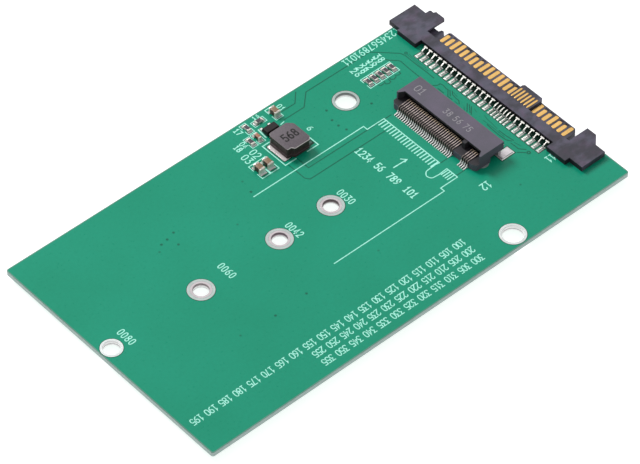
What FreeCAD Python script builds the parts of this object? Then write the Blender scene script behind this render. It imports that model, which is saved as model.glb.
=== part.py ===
"""Drive adapter card: a printed circuit board that carries a 75-position
edge-card socket (key M) for a solid-state module and a 68-way drive plug,
with a small step-down regulator (coil, controller, capacitors, resistors).

Frame: millimetres, +Z up out of the component side, +X along the board
towards the drive plug, +Y to the left of +X.  The origin is the centre of the
board's flat underside.  Nothing on the card moves.
"""
import FreeCAD, Part
import os
import Sketcher

V = FreeCAD.Vector
doc = FreeCAD.newDocument("drive_adapter_card")

# ---------------------------------------------------------------- dimensions
SIZES = [
    # circuit board
    ("board_length", 97.3, "board, along X"),
    ("board_width", 54.7, "board, along Y"),
    ("board_thick", 1.0, "board laminate thickness"),
    ("board_corner", 0.5, "corner radius of the board outline"),
    ("module_axis_y", 1.57, "centre line of the module, its holes and its socket"),
    ("post_hole_x", 3.65, "X of the 30 mm module post hole"),
    ("post_step_a", 12.0, "30 to 42 mm post hole"),
    ("post_step_b", 18.0, "42 to 60 mm post hole"),
    ("post_step_c", 20.0, "60 to 80 mm post hole"),
    ("post_hole_dia", 3.0, "30, 42 and 60 mm post holes"),
    ("end_hole_dia", 3.2, "80 mm post hole"),
    ("case_hole_dia", 4.0, "case screw holes"),
    ("case_hole_x", 22.9, "X of both case screw holes"),
    ("case_hole_left_y", 19.0, "case screw hole by the coil"),
    ("case_hole_spacing", 43.5, "case hole to case hole, along Y"),
    ("notch_x", 43.85, "inner end of the plug notch in the board"),
    ("notch_right_y", -19.5, "plug notch, right side"),
    ("notch_left_y", 25.5, "plug notch, left side"),
    # drive plug
    ("plug_top", 2.1, "top of the plug housing above the board underside"),
    ("plug_bottom", -1.1, "bottom of the plug housing"),
    ("seat_x", 45.27, "front face of the plug's seat wall"),
    ("seat_back_x", 43.9, "rear face of the seat wall, in the board notch"),
    ("roof_back_x", 42.87, "rear edge of the roof over the inner tails"),
    ("roof_under", 1.5, "underside of that roof"),
    ("tongue_tip_x", 49.0, "end of the blade"),
    ("tongue_top", 0.94, "top face of the blade"),
    ("tongue_under", -0.25, "lower face of the blade"),
    ("tongue_right_y", -14.0, "blade, right end"),
    ("tongue_left_y", 19.45, "blade, left end"),
    ("key_top", 1.55, "top of the raised part of the blade"),
    ("key_tip_x", 49.45, "end of the raised part"),
    ("key_right_y", -4.7, "raised part, right side"),
    ("key_left_y", 0.45, "raised part, left side"),
    ("post_tip_x", 49.9, "end of both guide posts"),
    ("post_under", 1.65, "underside of the guide posts' upper plates"),
    ("post_block_x", 47.7, "end of the guide posts' lower blocks"),
    ("contact_first_y", 18.82, "first power contact"),
    ("contact_pitch", 1.27, "power and signal contact pitch"),
    ("side_pitch", 0.8, "sideband and lower contact pitch"),
    ("group_gap", 1.175, "power to sideband, and sideband to signal"),
    ("contact_w", 0.85, "power and signal blade width"),
    ("side_w", 0.45, "sideband blade width"),
    ("stem_w", 0.4, "stem and foot width, wide contacts"),
    ("side_stem_w", 0.3, "stem and foot width, narrow contacts"),
    ("metal_t", 0.2, "contact strip thickness"),
    ("short_tip_x", 48.2, "tip of the late-mating contacts"),
    ("long_tip_x", 48.7, "tip of the early-mating contacts"),
    ("head_back_x", 42.2, "rear end of the wide head behind the housing"),
    ("knee_x", 41.4, "top of the stem's slope"),
    ("riser_x", 41.17, "rear face of the riser"),
    ("foot_back_x", 40.1, "rear end of the foot"),
    ("exit_top", 1.95, "top of the contact where it leaves the housing"),
    ("knee_top", 1.58, "top of the stem at its knee"),
    ("upper_riser_x", 44.7, "rear face of the riser inside the seat wall"),
    ("lower_riser_x", 44.2, "rear face of the lower contact's riser"),
    ("lower_foot_x", 43.05, "rear end of the lower contact's foot"),
    ("lower_tip_x", 48.3, "tip of the lower contacts"),
    ("lower_w", 0.4, "lower contact width"),
    ("peg_dia", 1.3, "plug locating pegs"),
    ("peg_play", 0.1, "peg hole diameter less peg diameter"),
    ("peg_x", 42.6, "X of the plug pegs"),
    ("peg_right_y", -16.4, "right plug peg"),
    ("peg_left_y", 22.9, "left plug peg"),
    ("lock_x", 44.4, "start of the board lock slots"),
    ("lock_len", 2.2, "board lock slot length"),
    ("lock_slot_w", 0.7, "board lock slot width"),
    ("lock_right_y", -20.7, "right board lock"),
    ("lock_left_y", 26.4, "left board lock"),
    ("lock_t", 0.3, "board lock sheet thickness"),
    # card socket
    ("socket_front_x", 28.05, "front face of the socket"),
    ("socket_back_x", 35.0, "rear face of the socket"),
    ("socket_half", 10.9, "half the socket's width"),
    ("socket_top", 4.12, "top of the socket above the board underside"),
    ("cover_front_x", 30.38, "front edge of the socket's top wall"),
    ("cheek_front_x", 29.25, "front edge of the socket's end cheeks"),
    ("lip_top", 2.4, "top of the lower lip"),
    ("slot_half", 10.0, "half the width of the module slot"),
    ("slot_low", 2.66, "lower face of the module slot"),
    ("slot_high", 3.62, "upper face of the module slot"),
    ("slot_end_x", 33.7, "inner end of the module slot"),
    ("key_rib_y", -4.6, "centre of the key rib"),
    ("key_rib_w", 0.8, "width of the key rib"),
    ("rib_front_x", 29.6, "front of the key rib"),
    ("end_notch_x", 31.8, "front of the notch under each end of the socket"),
    ("end_notch_top", 2.3, "top of that notch"),
    ("tail_first_y", 8.95, "first front tail, from the module axis"),
    ("tail_pitch", 0.5, "socket contact pitch"),
    ("beam_w", 0.22, "socket contact width"),
    ("beam_t", 0.14, "socket contact thickness"),
    ("socket_peg_x", 30.6, "X of the socket pegs"),
    ("socket_peg_half", 10.0, "socket peg distance from the module axis"),
    ("socket_peg_a", 1.5, "larger socket peg diameter"),
    ("socket_peg_b", 1.0, "smaller socket peg diameter"),
    # step-down coil
    ("coil_x", 7.98, "coil centre X"),
    ("coil_y", 17.32, "coil centre Y"),
    ("coil_len_x", 5.35, "coil along X"),
    ("coil_len_y", 5.9, "coil along Y"),
    ("coil_height", 2.4, "coil height above the board"),
    ("coil_flange", 0.55, "flange thickness"),
    ("coil_post", 1.1, "radius of the core's centre post"),
    ("coil_wound", 2.15, "outer radius of the winding"),
    ("coil_corner", 0.6, "corner cut of the flanges"),
    # controller chip
    ("chip_x", 7.75, "controller centre X"),
    ("chip_y", 22.2, "controller centre Y"),
    ("chip_len", 2.9, "controller body along X"),
    ("chip_wide", 1.6, "controller body along Y"),
    ("chip_high", 1.05, "controller body height"),
    ("chip_stand", 0.06, "gap under the controller body"),
    ("chip_pitch", 0.95, "controller lead pitch"),
    ("chip_span", 2.8, "controller lead tip to lead tip"),
    ("chip_lead_w", 0.4, "controller lead width"),
    ("chip_lead_t", 0.14, "controller lead thickness"),
    # chip capacitors and resistors
    ("cap_len", 2.0, "large capacitor length"),
    ("cap_wide", 1.25, "large capacitor width"),
    ("cap_high", 1.2, "large capacitor height"),
    ("cap_end", 0.45, "large capacitor end cap length"),
    ("small_cap_len", 1.6, "small capacitor length"),
    ("small_cap_wide", 0.8, "small capacitor width"),
    ("small_cap_high", 0.8, "small capacitor height"),
    ("small_cap_end", 0.35, "small capacitor end cap length"),
    ("res_len", 1.6, "resistor length"),
    ("res_wide", 0.8, "resistor width"),
    ("res_high", 0.45, "resistor height"),
    ("res_end", 0.3, "resistor end cap length"),
    ("plate", 0.04, "end cap plating thickness"),
    ("strap_x", 29.05, "first strap resistor, X"),
    ("strap_pitch", 1.425, "strap resistor pitch"),
    ("strap_y", 19.72, "strap resistors, Y"),
]

dims = doc.addObject("Spreadsheet::Sheet", "dims")
dims.set("A1", "name")
dims.set("B1", "value")
dims.set("C1", "what it is")
VALUE = {}
for row, (alias, value, what) in enumerate(SIZES, start=2):
    dims.set("A%d" % row, alias)
    dims.set("B%d" % row, repr(value))
    dims.set("C%d" % row, what)
    dims.setAlias("B%d" % row, alias)
    VALUE[alias] = value
doc.recompute()


class Size:
    """A length that knows both its value and the sheet expression for it."""

    def __init__(self, value, text):
        self.value = value
        self.text = text

    def __add__(self, other):
        other = size(other)
        return Size(self.value + other.value, "(%s + %s)" % (self.text, other.text))

    __radd__ = __add__

    def __sub__(self, other):
        other = size(other)
        return Size(self.value - other.value, "(%s - %s)" % (self.text, other.text))

    def __rsub__(self, other):
        return size(other) - self

    def __mul__(self, number):
        return Size(self.value * number, "(%s * %s)" % (self.text, repr(float(number))))

    __rmul__ = __mul__

    def __truediv__(self, number):
        return Size(self.value / number, "(%s / %s)" % (self.text, repr(float(number))))

    def __neg__(self):
        return Size(-self.value, "(0 - %s)" % self.text)


def size(thing):
    if isinstance(thing, Size):
        return thing
    if isinstance(thing, str):
        return Size(VALUE[thing], "dims." + thing)
    return Size(float(thing), repr(float(thing)))


D = size


def bind(obj, prop, thing):
    thing = size(thing)
    obj.setExpression(prop, thing.text)


# ------------------------------------------------------------ sketch helpers
def origin_feature(body, role):
    return [f for f in body.Origin.OriginFeatures if f.Role == role][0]


def make_body(name):
    body = doc.addObject("PartDesign::Body", name)
    body.Label = name
    body.AllowCompound = True
    return body


def make_sketch(body, name, role, loops, offset=None):
    """A fully constrained sketch; each loop is a list of corner points, or
    ("circle", x, y, radius)."""
    sk = body.newObject("Sketcher::SketchObject", name)
    sk.AttachmentSupport = [(origin_feature(body, role), "")]
    sk.MapMode = "FlatFace"
    if offset is not None:
        sk.AttachmentOffset = FreeCAD.Placement(V(0, 0, size(offset).value), FreeCAD.Rotation())
        bind(sk, "AttachmentOffset.Base.z", offset)
    for loop in loops:
        if loop[0] == "circle":
            cx, cy, cr = size(loop[1]), size(loop[2]), size(loop[3])
            g = sk.addGeometry(Part.Circle(V(cx.value, cy.value, 0), V(0, 0, 1), cr.value), False)
            k = sk.addConstraint(Sketcher.Constraint("Radius", g, cr.value))
            sk.setExpression("Constraints[%d]" % k, cr.text)
            place_point(sk, g, 3, cx, cy)
            continue
        pts = [(size(a), size(b)) for a, b in loop]
        n = len(pts)
        first = None
        ids = []
        for i in range(n):
            a, b = pts[i], pts[(i + 1) % n]
            ids.append(sk.addGeometry(Part.LineSegment(V(a[0].value, a[1].value, 0),
                                                       V(b[0].value, b[1].value, 0)), False))
        for i in range(n):
            sk.addConstraint(Sketcher.Constraint("Coincident", ids[i], 2, ids[(i + 1) % n], 1))
        for i in range(n):
            place_point(sk, ids[i], 1, pts[i][0], pts[i][1])
    return sk


def place_point(sk, geo, pos, px, py):
    for kind, val in (("DistanceX", px), ("DistanceY", py)):
        if abs(val.value) < 1e-9:
            axis = -2 if kind == "DistanceX" else -1
            sk.addConstraint(Sketcher.Constraint("PointOnObject", geo, pos, axis))
        else:
            k = sk.addConstraint(Sketcher.Constraint(kind, geo, pos, val.value))
            sk.setExpression("Constraints[%d]" % k, val.text)


def add_block(body, name, loops, low, high):
    """Pad of a plan outline from height low to height high."""
    low, high = size(low), size(high)
    sk = make_sketch(body, name + "_outline", "XY_Plane", loops, low)
    pad = body.newObject("PartDesign::Pad", name)
    pad.Profile = sk
    pad.Length = high.value - low.value
    bind(pad, "Length", high - low)
    sk.Visibility = False
    return pad


def cut_block(body, name, loops, low, high):
    """Pocket of a plan outline from height low up to height high."""
    low, high = size(low), size(high)
    sk = make_sketch(body, name + "_outline", "XY_Plane", loops, high)
    poc = body.newObject("PartDesign::Pocket", name)
    poc.Profile = sk
    poc.Length = high.value - low.value
    bind(poc, "Length", high - low)
    return poc


def add_strip(body, name, outline, y, width):
    """Pad of a side profile (X, Z), centred on the plane at y."""
    sk = make_sketch(body, name + "_profile", "XZ_Plane", [outline], -size(y))
    pad = body.newObject("PartDesign::Pad", name)
    pad.Profile = sk
    pad.SideType = "Symmetric"
    pad.Length = size(width).value
    bind(pad, "Length", width)
    return pad


def cut_strip(body, name, outline, y, width):
    sk = make_sketch(body, name + "_profile", "XZ_Plane", [outline], -size(y))
    poc = body.newObject("PartDesign::Pocket", name)
    poc.Profile = sk
    poc.SideType = "Symmetric"
    poc.Length = size(width).value
    bind(poc, "Length", width)
    return poc


def repeat_y(body, name, features, pitch, count):
    """Linear pattern along -Y."""
    lp = body.newObject("PartDesign::LinearPattern", name)
    lp.Originals = features
    lp.Direction = (origin_feature(body, "Y_Axis"), [""])
    lp.Reversed = True
    lp.Mode = "Spacing"
    lp.Offset = size(pitch).value
    bind(lp, "Offset", pitch)
    lp.Occurrences = count
    body.Tip = lp
    return lp


def rect(x0, x1, y0, y1):
    return [(x0, y0), (x1, y0), (x1, y1), (x0, y1)]


# --------------------------------------------------------------- the board
hole_x = [D("post_hole_x"),
          D("post_hole_x") - D("post_step_a"),
          D("post_hole_x") - D("post_step_a") - D("post_step_b"),
          D("post_hole_x") - D("post_step_a") - D("post_step_b") - D("post_step_c")]
axis_y = D("module_axis_y")
half_l, half_w = D("board_length") / 2, D("board_width") / 2

board = make_body("circuit_board")
outline = [(-half_l, -half_w), (half_l, -half_w), (half_l, D("notch_right_y")),
           (D("notch_x"), D("notch_right_y")), (D("notch_x"), D("notch_left_y")),
           (half_l, D("notch_left_y")), (half_l, half_w), (-half_l, half_w)]
loops = [outline]
for i in range(3):
    loops.append(("circle", hole_x[i], axis_y, D("post_hole_dia") / 2))
loops.append(("circle", hole_x[3], axis_y, D("end_hole_dia") / 2))
loops.append(("circle", D("case_hole_x"), D("case_hole_left_y"), D("case_hole_dia") / 2))
loops.append(("circle", D("case_hole_x"), D("case_hole_left_y") - D("case_hole_spacing"),
              D("case_hole_dia") / 2))
loops.append(("circle", D("socket_peg_x"), axis_y - D("socket_peg_half"),
              (D("socket_peg_a") + D("peg_play")) / 2))
loops.append(("circle", D("socket_peg_x"), axis_y + D("socket_peg_half"),
              (D("socket_peg_b") + D("peg_play")) / 2))
for side in ("peg_right_y", "peg_left_y"):
    loops.append(("circle", D("peg_x"), D(side), (D("peg_dia") + D("peg_play")) / 2))
for side in ("lock_right_y", "lock_left_y"):
    loops.append(rect(D("lock_x"), D("lock_x") + D("lock_len"),
                      D(side) - D("lock_slot_w") / 2, D(side) + D("lock_slot_w") / 2))
slab = add_block(board, "laminate", loops, 0, D("board_thick"))
doc.recompute()


def upright_edges(shape, points):
    names = []
    for i, e in enumerate(shape.Edges, start=1):
        a, b = e.firstVertex().Point, e.lastVertex().Point
        if abs(a.x - b.x) < 1e-6 and abs(a.y - b.y) < 1e-6:
            for x, y in points:
                if abs(a.x - x) < 1e-4 and abs(a.y - y) < 1e-4:
                    names.append("Edge%d" % i)
    return names


corners = upright_edges(slab.Shape, [(sx * half_l.value, sy * half_w.value)
                                     for sx in (-1, 1) for sy in (-1, 1)])
rounding = board.newObject("PartDesign::Fillet", "corner_rounding")
rounding.Base = (slab, corners)
rounding.Radius = VALUE["board_corner"]
bind(rounding, "Radius", "board_corner")
board.Tip = rounding

# ------------------------------------------------- profiles of the contacts
t = D("metal_t")


def wide_profile(tip):
    """Blade on the tongue, riser inside the seat wall, and head behind it."""
    top, under = D("tongue_top") + 0.05, D("tongue_top") + 0.05 - t
    ex, eu = D("exit_top"), D("exit_top") - t
    rx = D("upper_riser_x")
    return [(tip, under), (tip, top), (rx + t, top), (rx + t, ex),
            (D("head_back_x"), ex), (D("head_back_x"), eu), (rx, eu), (rx, under)]


def flat_profile(tip):
    """Sideband contact: the same shape, lying on the raised part of the blade."""
    top, under = D("key_top") + 0.05, D("key_top") + 0.05 - t
    ex, eu = D("exit_top"), D("exit_top") - t
    rx = D("upper_riser_x")
    return [(tip, under), (tip, top), (rx + t, top), (rx + t, ex),
            (D("head_back_x"), ex), (D("head_back_x"), eu), (rx, eu), (rx, under)]


def stem_profile():
    """Stem, knee, riser and foot behind the head."""
    ex = D("exit_top")
    ft = D("board_thick")
    return [(D("head_back_x"), ex - t), (D("head_back_x"), ex), (D("knee_x"), D("knee_top")),
            (D("riser_x"), ft + t), (D("foot_back_x"), ft + t), (D("foot_back_x"), ft),
            (D("riser_x") + 0.1, ft), (D("knee_x") + 0.1, D("knee_top") - t)]


def lower_profile(grow):
    """Lower contact: blade under the tongue, riser, foot on the board."""
    under = D("tongue_under") - 0.05
    rx = D("lower_riser_x")
    ft = D("board_thick")
    return [(D("lower_tip_x"), under), (D("lower_tip_x"), under + t), (rx + t, under + t),
            (rx + t, ft + t), (D("lower_foot_x"), ft + t), (D("lower_foot_x"), ft),
            (rx, ft), (rx, under)]


first = D("contact_first_y")
pitch = D("contact_pitch")
side_first = first - pitch * 14 - D("group_gap")
signal_first = side_first - D("side_pitch") * 5 - D("group_gap")
lower_first = (first + (signal_first - pitch * 6)) / 2 + D("side_pitch") * 19.5

# ---------------------------------------------------------- plug housing
plug = make_body("drive_plug_housing")
pt, pb = D("plug_top"), D("plug_bottom")
bt = D("board_thick")
sx, rb = D("seat_x"), D("roof_back_x")
tip = D("post_tip_x")

# roof bar over the inner tails, and the two ears that stand on the board
upper = [(41.27, -13.85), (41.27, -18.52), (42.37, -18.52), (42.37, -21.66), (48.12, -21.66),
         (48.12, -19.35), (tip, -17.6), (tip, -15.4), (sx, -15.4),
         (sx, 21.65), (tip - 0.3, 21.65), (tip, 22.05), (tip, 24.2), (tip - 0.5, 24.4),
         (tip - 0.5, 24.75), (tip - 0.45, 25.05), (tip - 0.7, 25.3), (48.3, 25.3), (48.3, 28.28),
         (41.97, 28.28), (41.97, 25.49), (41.37, 25.49), (41.37, 20.65), (rb, 20.65), (rb, -13.85)]
ears = add_block(plug, "ears_and_roof", [upper], bt, pt)
relief = cut_block(plug, "tail_relief", [rect(rb - 0.5, D("seat_back_x"), -13.85, 20.65)],
                   bt, D("roof_under"))
# each guide post is a fork: a thin upper plate and a shorter lower block
gx = D("post_block_x")
fork = cut_block(plug, "post_gaps", [rect(sx, tip + 0.4, -19.35, -15.0), rect(sx, tip + 0.4, 21.4, 25.3)],
                 bt, D("post_under"))
# seat wall reaches down through the board notch
wall = add_block(plug, "seat_wall", [rect(D("seat_back_x"), sx, -19.35, 25.3)], pb, bt)
blocks = add_block(plug, "post_blocks", [[(sx, -19.35), (gx, -19.35), (gx + 0.5, -18.85), (gx + 0.5, -15.4), (sx, -15.4)],
                                         [(sx, 21.2), (gx, 21.2), (gx, 25.3), (sx, 25.3)]],
                   pb, D("tongue_top") - 0.15)
# blade with cut corners, its raised key, and the short upright leg at its end
tx = D("tongue_tip_x")
blade = add_block(plug, "blade", [[(sx, D("tongue_right_y")), (tx - 0.7, D("tongue_right_y")),
                                   (tx, D("tongue_right_y") + 0.7), (tx, D("tongue_left_y") - 0.3),
                                   (tx - 0.3, D("tongue_left_y")), (sx, D("tongue_left_y"))]],
                  D("tongue_under"), D("tongue_top"))
kx = D("key_tip_x")
key = add_block(plug, "raised_key", [[(sx, D("key_right_y")), (kx - 0.55, D("key_right_y")),
                                      (kx, D("key_right_y") + 0.4), (kx, D("key_left_y") - 0.3),
                                      (kx - 0.4, D("key_left_y")), (sx, D("key_left_y"))]],
                D("tongue_under"), D("key_top"))
leg = add_block(plug, "blade_leg", [[(sx, D("tongue_left_y")), (47.5, D("tongue_left_y")), (48.4, 20.5), (48.3, 20.95),
                                     (47.5, 21.2), (sx, 21.2)]], pb, D("tongue_top") - 0.15)
pegs = add_block(plug, "pegs", [("circle", D("peg_x"), D("peg_right_y"), D("peg_dia") / 2),
                                ("circle", D("peg_x"), D("peg_left_y"), D("peg_dia") / 2)],
                 0.1, bt)
# pockets for the board locks
lock_in = cut_block(plug, "lock_pockets",
                    [rect(D("lock_x") + 0.3, D("lock_x") + D("lock_len") - 0.3,
                          D(s) - D("lock_t") / 2, D(s) + D("lock_t") / 2)
                     for s in ("lock_right_y", "lock_left_y")], bt, bt + 0.8)
# channels that hold the contacts
c1 = cut_strip(plug, "power_channel", wide_profile(D("long_tip_x")), first, D("contact_w"))
p1 = repeat_y(plug, "power_channels", [c1], "contact_pitch", 15)
c2 = cut_strip(plug, "sideband_channel", flat_profile(D("short_tip_x") + 0.2), side_first, D("side_w"))
p2 = repeat_y(plug, "sideband_channels", [c2], "side_pitch", 6)
c3 = cut_strip(plug, "signal_channel", wide_profile(D("long_tip_x")), signal_first, D("contact_w"))
p3 = repeat_y(plug, "signal_channels", [c3], "contact_pitch", 7)
c4 = cut_strip(plug, "lower_channel", lower_profile(0), lower_first, D("lower_w"))
p4 = repeat_y(plug, "lower_channels", [c4], "side_pitch", 40)

# ------------------------------------------------------------ plug contacts
def tip_blocks(body, name, y_first, numbers):
    """Extra blade length of the early-mating contacts."""
    loops = []
    for i in numbers:
        y = y_first - pitch * i
        loops.append(rect(D("short_tip_x"), D("long_tip_x"), y - D("contact_w") / 2,
                          y + D("contact_w") / 2))
    return add_block(body, name, loops, D("tongue_top") + 0.05 - t, D("tongue_top") + 0.05)


power = make_body("power_contacts")
a = add_strip(power, "blade", wide_profile(D("short_tip_x")), first, D("contact_w"))
b = add_strip(power, "stem", stem_profile(), first, D("stem_w"))
repeat_y(power, "row", [a, b], "contact_pitch", 15)
longs = tip_blocks(power, "long_tips", first, (2, 3, 5, 8, 9, 10, 11, 12))
power.Tip = longs

side = make_body("sideband_contacts")
a = add_strip(side, "blade", flat_profile(D("short_tip_x") + 0.2), side_first, D("side_w"))
b = add_strip(side, "stem", stem_profile(), side_first, D("side_stem_w"))
repeat_y(side, "row", [a, b], "side_pitch", 6)

signal = make_body("signal_contacts")
a = add_strip(signal, "blade", wide_profile(D("short_tip_x")), signal_first, D("contact_w"))
b = add_strip(signal, "stem", stem_profile(), signal_first, D("stem_w"))
repeat_y(signal, "row", [a, b], "contact_pitch", 7)
longs = tip_blocks(signal, "long_tips", signal_first, (0, 3, 6))
signal.Tip = longs

low = make_body("lower_contacts")
a = add_strip(low, "contact", lower_profile(0), lower_first, D("lower_w"))
repeat_y(low, "row", [a], "side_pitch", 40)

locks = make_body("plug_board_locks")
add_block(locks, "tabs", [rect(D("lock_x") + 0.3, D("lock_x") + D("lock_len") - 0.3,
                               D(s) - D("lock_t") / 2, D(s) + D("lock_t") / 2)
                          for s in ("lock_right_y", "lock_left_y")], 0.05, bt + 0.8)

# ---------------------------------------------------------- socket housing
socket = make_body("card_socket_housing")
fx, bx = D("socket_front_x"), D("socket_back_x")
y_lo, y_hi = axis_y - D("socket_half"), axis_y + D("socket_half")
st = D("socket_top")
s_lo, s_hi = axis_y - D("slot_half"), axis_y + D("slot_half")
base = add_block(socket, "lower_lip", [[(fx, y_lo + 0.7), (fx + 0.5, y_lo), (bx, y_lo), (bx, y_hi),
                                        (fx + 0.5, y_hi), (fx, y_hi - 0.7)]], bt, D("lip_top"))
body_top = add_block(socket, "upper_walls",
                     [[(D("cheek_front_x"), y_lo), (bx, y_lo), (bx, y_hi), (D("cheek_front_x"), y_hi),
                       (D("cheek_front_x"), s_hi + 0.55), (D("cover_front_x"), s_hi - 0.1),
                       (D("cover_front_x"), s_lo + 0.1), (D("cheek_front_x"), s_lo - 0.55)]],
                     D("lip_top"), st)
# the slot for the module's edge, with its key rib left standing
kr0, kr1 = D("key_rib_y") - D("key_rib_w") / 2, D("key_rib_y") + D("key_rib_w") / 2
slot = cut_block(socket, "module_slot",
                 [rect(fx - 0.5, D("slot_end_x"), s_lo, kr0), rect(fx - 0.5, D("slot_end_x"), kr1, s_hi)],
                 D("lip_top"), D("slot_high"))
rib = add_block(socket, "key_rib", [rect(D("rib_front_x"), D("cover_front_x") + 0.4, kr0, kr1)],
                D("lip_top") - 0.5, st - 0.2)
rear_step = cut_block(socket, "rear_tail_step", [rect(bx - 0.2, bx + 0.5, s_lo, s_hi)], bt, bt + 0.5)
s_pegs = add_block(socket, "pegs", [("circle", D("socket_peg_x"), axis_y - D("socket_peg_half"),
                                     D("socket_peg_a") / 2),
                                    ("circle", D("socket_peg_x"), axis_y + D("socket_peg_half"),
                                     D("socket_peg_b") / 2)], 0.1, bt)

bw, bm = D("beam_w"), D("beam_t")


def front_beam():
    """Front contact: foot, ramp, upright in the comb, and spring beam."""
    f = bt
    return [(26.9, f), (26.9, f + 0.13), (27.72, f + 0.13), (28.02, f + 0.42), (28.28, f + 0.5),
            (28.58, f + 1.2), (30.25, f + 1.72), (30.6, f + 1.74), (30.95, f + 1.42),
            (30.86, f + 1.32), (30.55, f + 1.58), (30.29, f + 1.56), (28.72, f + 1.06),
            (28.46, f + 0.32), (28.12, f + 0.27), (27.82, f)]


def front_slot():
    """Room for the front contact in the comb."""
    f = bt
    return [(fx - 0.2, f), (fx - 0.2, f + 1.5), (31.3, f + 1.5), (31.3, f + 1.1), (28.9, f + 0.9),
            (28.7, f + 0.2), (28.3, f)]


def rear_beam():
    """Rear contact: foot behind the socket, upright, and beam under the top wall."""
    f = bt
    return [(36.2, f), (36.2, f + 0.14), (35.3, f + 0.14), (35.02, f + 0.44), (34.64, f + 0.44),
            (34.64, f + 2.86), (33.7, f + 2.86), (31.85, f + 2.54), (31.4, f + 2.78), (31.3, f + 2.68),
            (31.85, f + 2.4), (33.72, f + 2.72), (34.5, f + 2.72), (34.5, f + 0.3), (34.96, f + 0.3),
            (35.24, f)]


def rear_slot():
    f = bt
    return [(bx + 0.2, f), (bx + 0.2, f + 0.5), (34.7, f + 0.5), (34.7, f + 2.92), (31.2, f + 2.92),
            (31.2, f + 2.6), (34.4, f + 2.6), (34.4, f)]


front_first = axis_y + D("tail_first_y")
rear_first = axis_y + D("tail_first_y") + D("tail_pitch") / 2
tp = D("tail_pitch")
room = 0.34
g1 = cut_strip(socket, "front_slot_a", front_slot(), front_first, room)
repeat_y(socket, "front_slots_a", [g1], "tail_pitch", 29)
g2 = cut_strip(socket, "front_slot_b", front_slot(), front_first - tp * 33, room)
repeat_y(socket, "front_slots_b", [g2], "tail_pitch", 4)
g3 = cut_strip(socket, "rear_slot_a", rear_slot(), rear_first, room)
repeat_y(socket, "rear_slots_a", [g3], "tail_pitch", 29)
g4 = cut_strip(socket, "rear_slot_b", rear_slot(), rear_first - tp * 33, room)
repeat_y(socket, "rear_slots_b", [g4], "tail_pitch", 5)
# notches under both ends, and pockets in their roofs for the hold-downs
notches = cut_block(socket, "end_notches",
                    [rect(D("end_notch_x"), bx + 0.5, y_lo - 0.5, y_lo + 0.8),
                     rect(D("end_notch_x"), bx + 0.5, y_hi - 0.8, y_hi + 0.5)], bt, D("end_notch_top"))
hold = cut_block(socket, "hold_down_pockets",
                 [rect(33.9, 34.6, y_lo + 0.2, y_lo + 0.5), rect(33.9, 34.6, y_hi - 0.5, y_hi - 0.2)],
                 bt, bt + 2.0)
socket.Tip = hold

front_row = make_body("socket_front_contacts")
a = add_strip(front_row, "beam_a", front_beam(), front_first, bw)
repeat_y(front_row, "row_a", [a], "tail_pitch", 29)
b = add_strip(front_row, "beam_b", front_beam(), front_first - tp * 33, bw)
repeat_y(front_row, "row_b", [b], "tail_pitch", 4)

rear_row = make_body("socket_rear_contacts")
a = add_strip(rear_row, "beam_a", rear_beam(), rear_first, bw)
repeat_y(rear_row, "row_a", [a], "tail_pitch", 29)
b = add_strip(rear_row, "beam_b", rear_beam(), rear_first - tp * 33, bw)
repeat_y(rear_row, "row_b", [b], "tail_pitch", 5)

downs = make_body("socket_hold_downs")
add_block(downs, "feet", [rect(33.9, 36.5, y_lo - 0.9, y_lo + 0.5), rect(33.9, 36.5, y_hi - 0.5, y_hi + 0.9)],
          bt, bt + 0.2)
tabs = add_block(downs, "tabs", [rect(33.9, 34.6, y_lo + 0.2, y_lo + 0.5),
                                 rect(33.9, 34.6, y_hi - 0.5, y_hi - 0.2)], bt, bt + 2.0)
downs.Tip = tabs

# ------------------------------------------------------------------- coil
cx, cy = D("coil_x"), D("coil_y")
hx, hy = D("coil_len_x") / 2, D("coil_len_y") / 2
cc = D("coil_corner")
c_top = bt + D("coil_height")
flange = D("coil_flange")


def coil_plan(inset):
    x0, x1, y0, y1 = cx - hx + inset, cx + hx - inset, cy - hy + inset, cy + hy - inset
    return [(x0, y0 + cc), (x0 + 0.95, y0 + cc), (x0 + 1.35, y0), (x1 - cc, y0), (x1, y0 + cc),
            (x1, y1 - 1.0), (x1 - 1.0, y1), (x0 + cc, y1), (x0, y1 - cc)]


core = make_body("coil_core")
add_block(core, "lower_flange", [coil_plan(0)], bt + 0.12, bt + 0.12 + flange)
add_block(core, "centre_post", [("circle", cx, cy, D("coil_post"))], bt + 0.12 + flange, c_top - flange)
core.Tip = add_block(core, "upper_flange", [coil_plan(0)], c_top - flange, c_top)

winding = make_body("coil_winding")
add_block(winding, "turns", [("circle", cx, cy, D("coil_wound")), ("circle", cx, cy, D("coil_post"))],
          bt + 0.12 + flange, c_top - flange)

sleeve = make_body("coil_resin_fill")
add_block(sleeve, "fill", [coil_plan(0.12), ("circle", cx, cy, D("coil_wound"))],
          bt + 0.12 + flange, c_top - flange)

terms = make_body("coil_terminals")
lx0, lx1 = cx - hx - 0.8, cx - hx + 0.6
rx0, rx1 = cx + hx - 0.6, cx + hx + 0.8
add_block(terms, "plates", [[(lx0, cy - 1.9), (lx0 + 0.5, cy - 2.3), (lx1, cy - 2.3), (lx1, cy + 2.3),
                             (lx0 + 0.5, cy + 2.3), (lx0, cy + 1.9)],
                            [(rx0, cy - 2.3), (rx1 - 0.5, cy - 2.3), (rx1, cy - 1.9), (rx1, cy + 1.9),
                             (rx1 - 0.5, cy + 2.3), (rx0, cy + 2.3)]], bt, bt + 0.12)

# -------------------------------------------------------------- controller
kx0, ky0 = D("chip_x"), D("chip_y")
kl, kw = D("chip_len") / 2, D("chip_wide") / 2
z0 = bt + D("chip_stand")
zm = z0 + D("chip_high") / 2
chip = make_body("controller_body")
lt = D("chip_lead_t")
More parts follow.
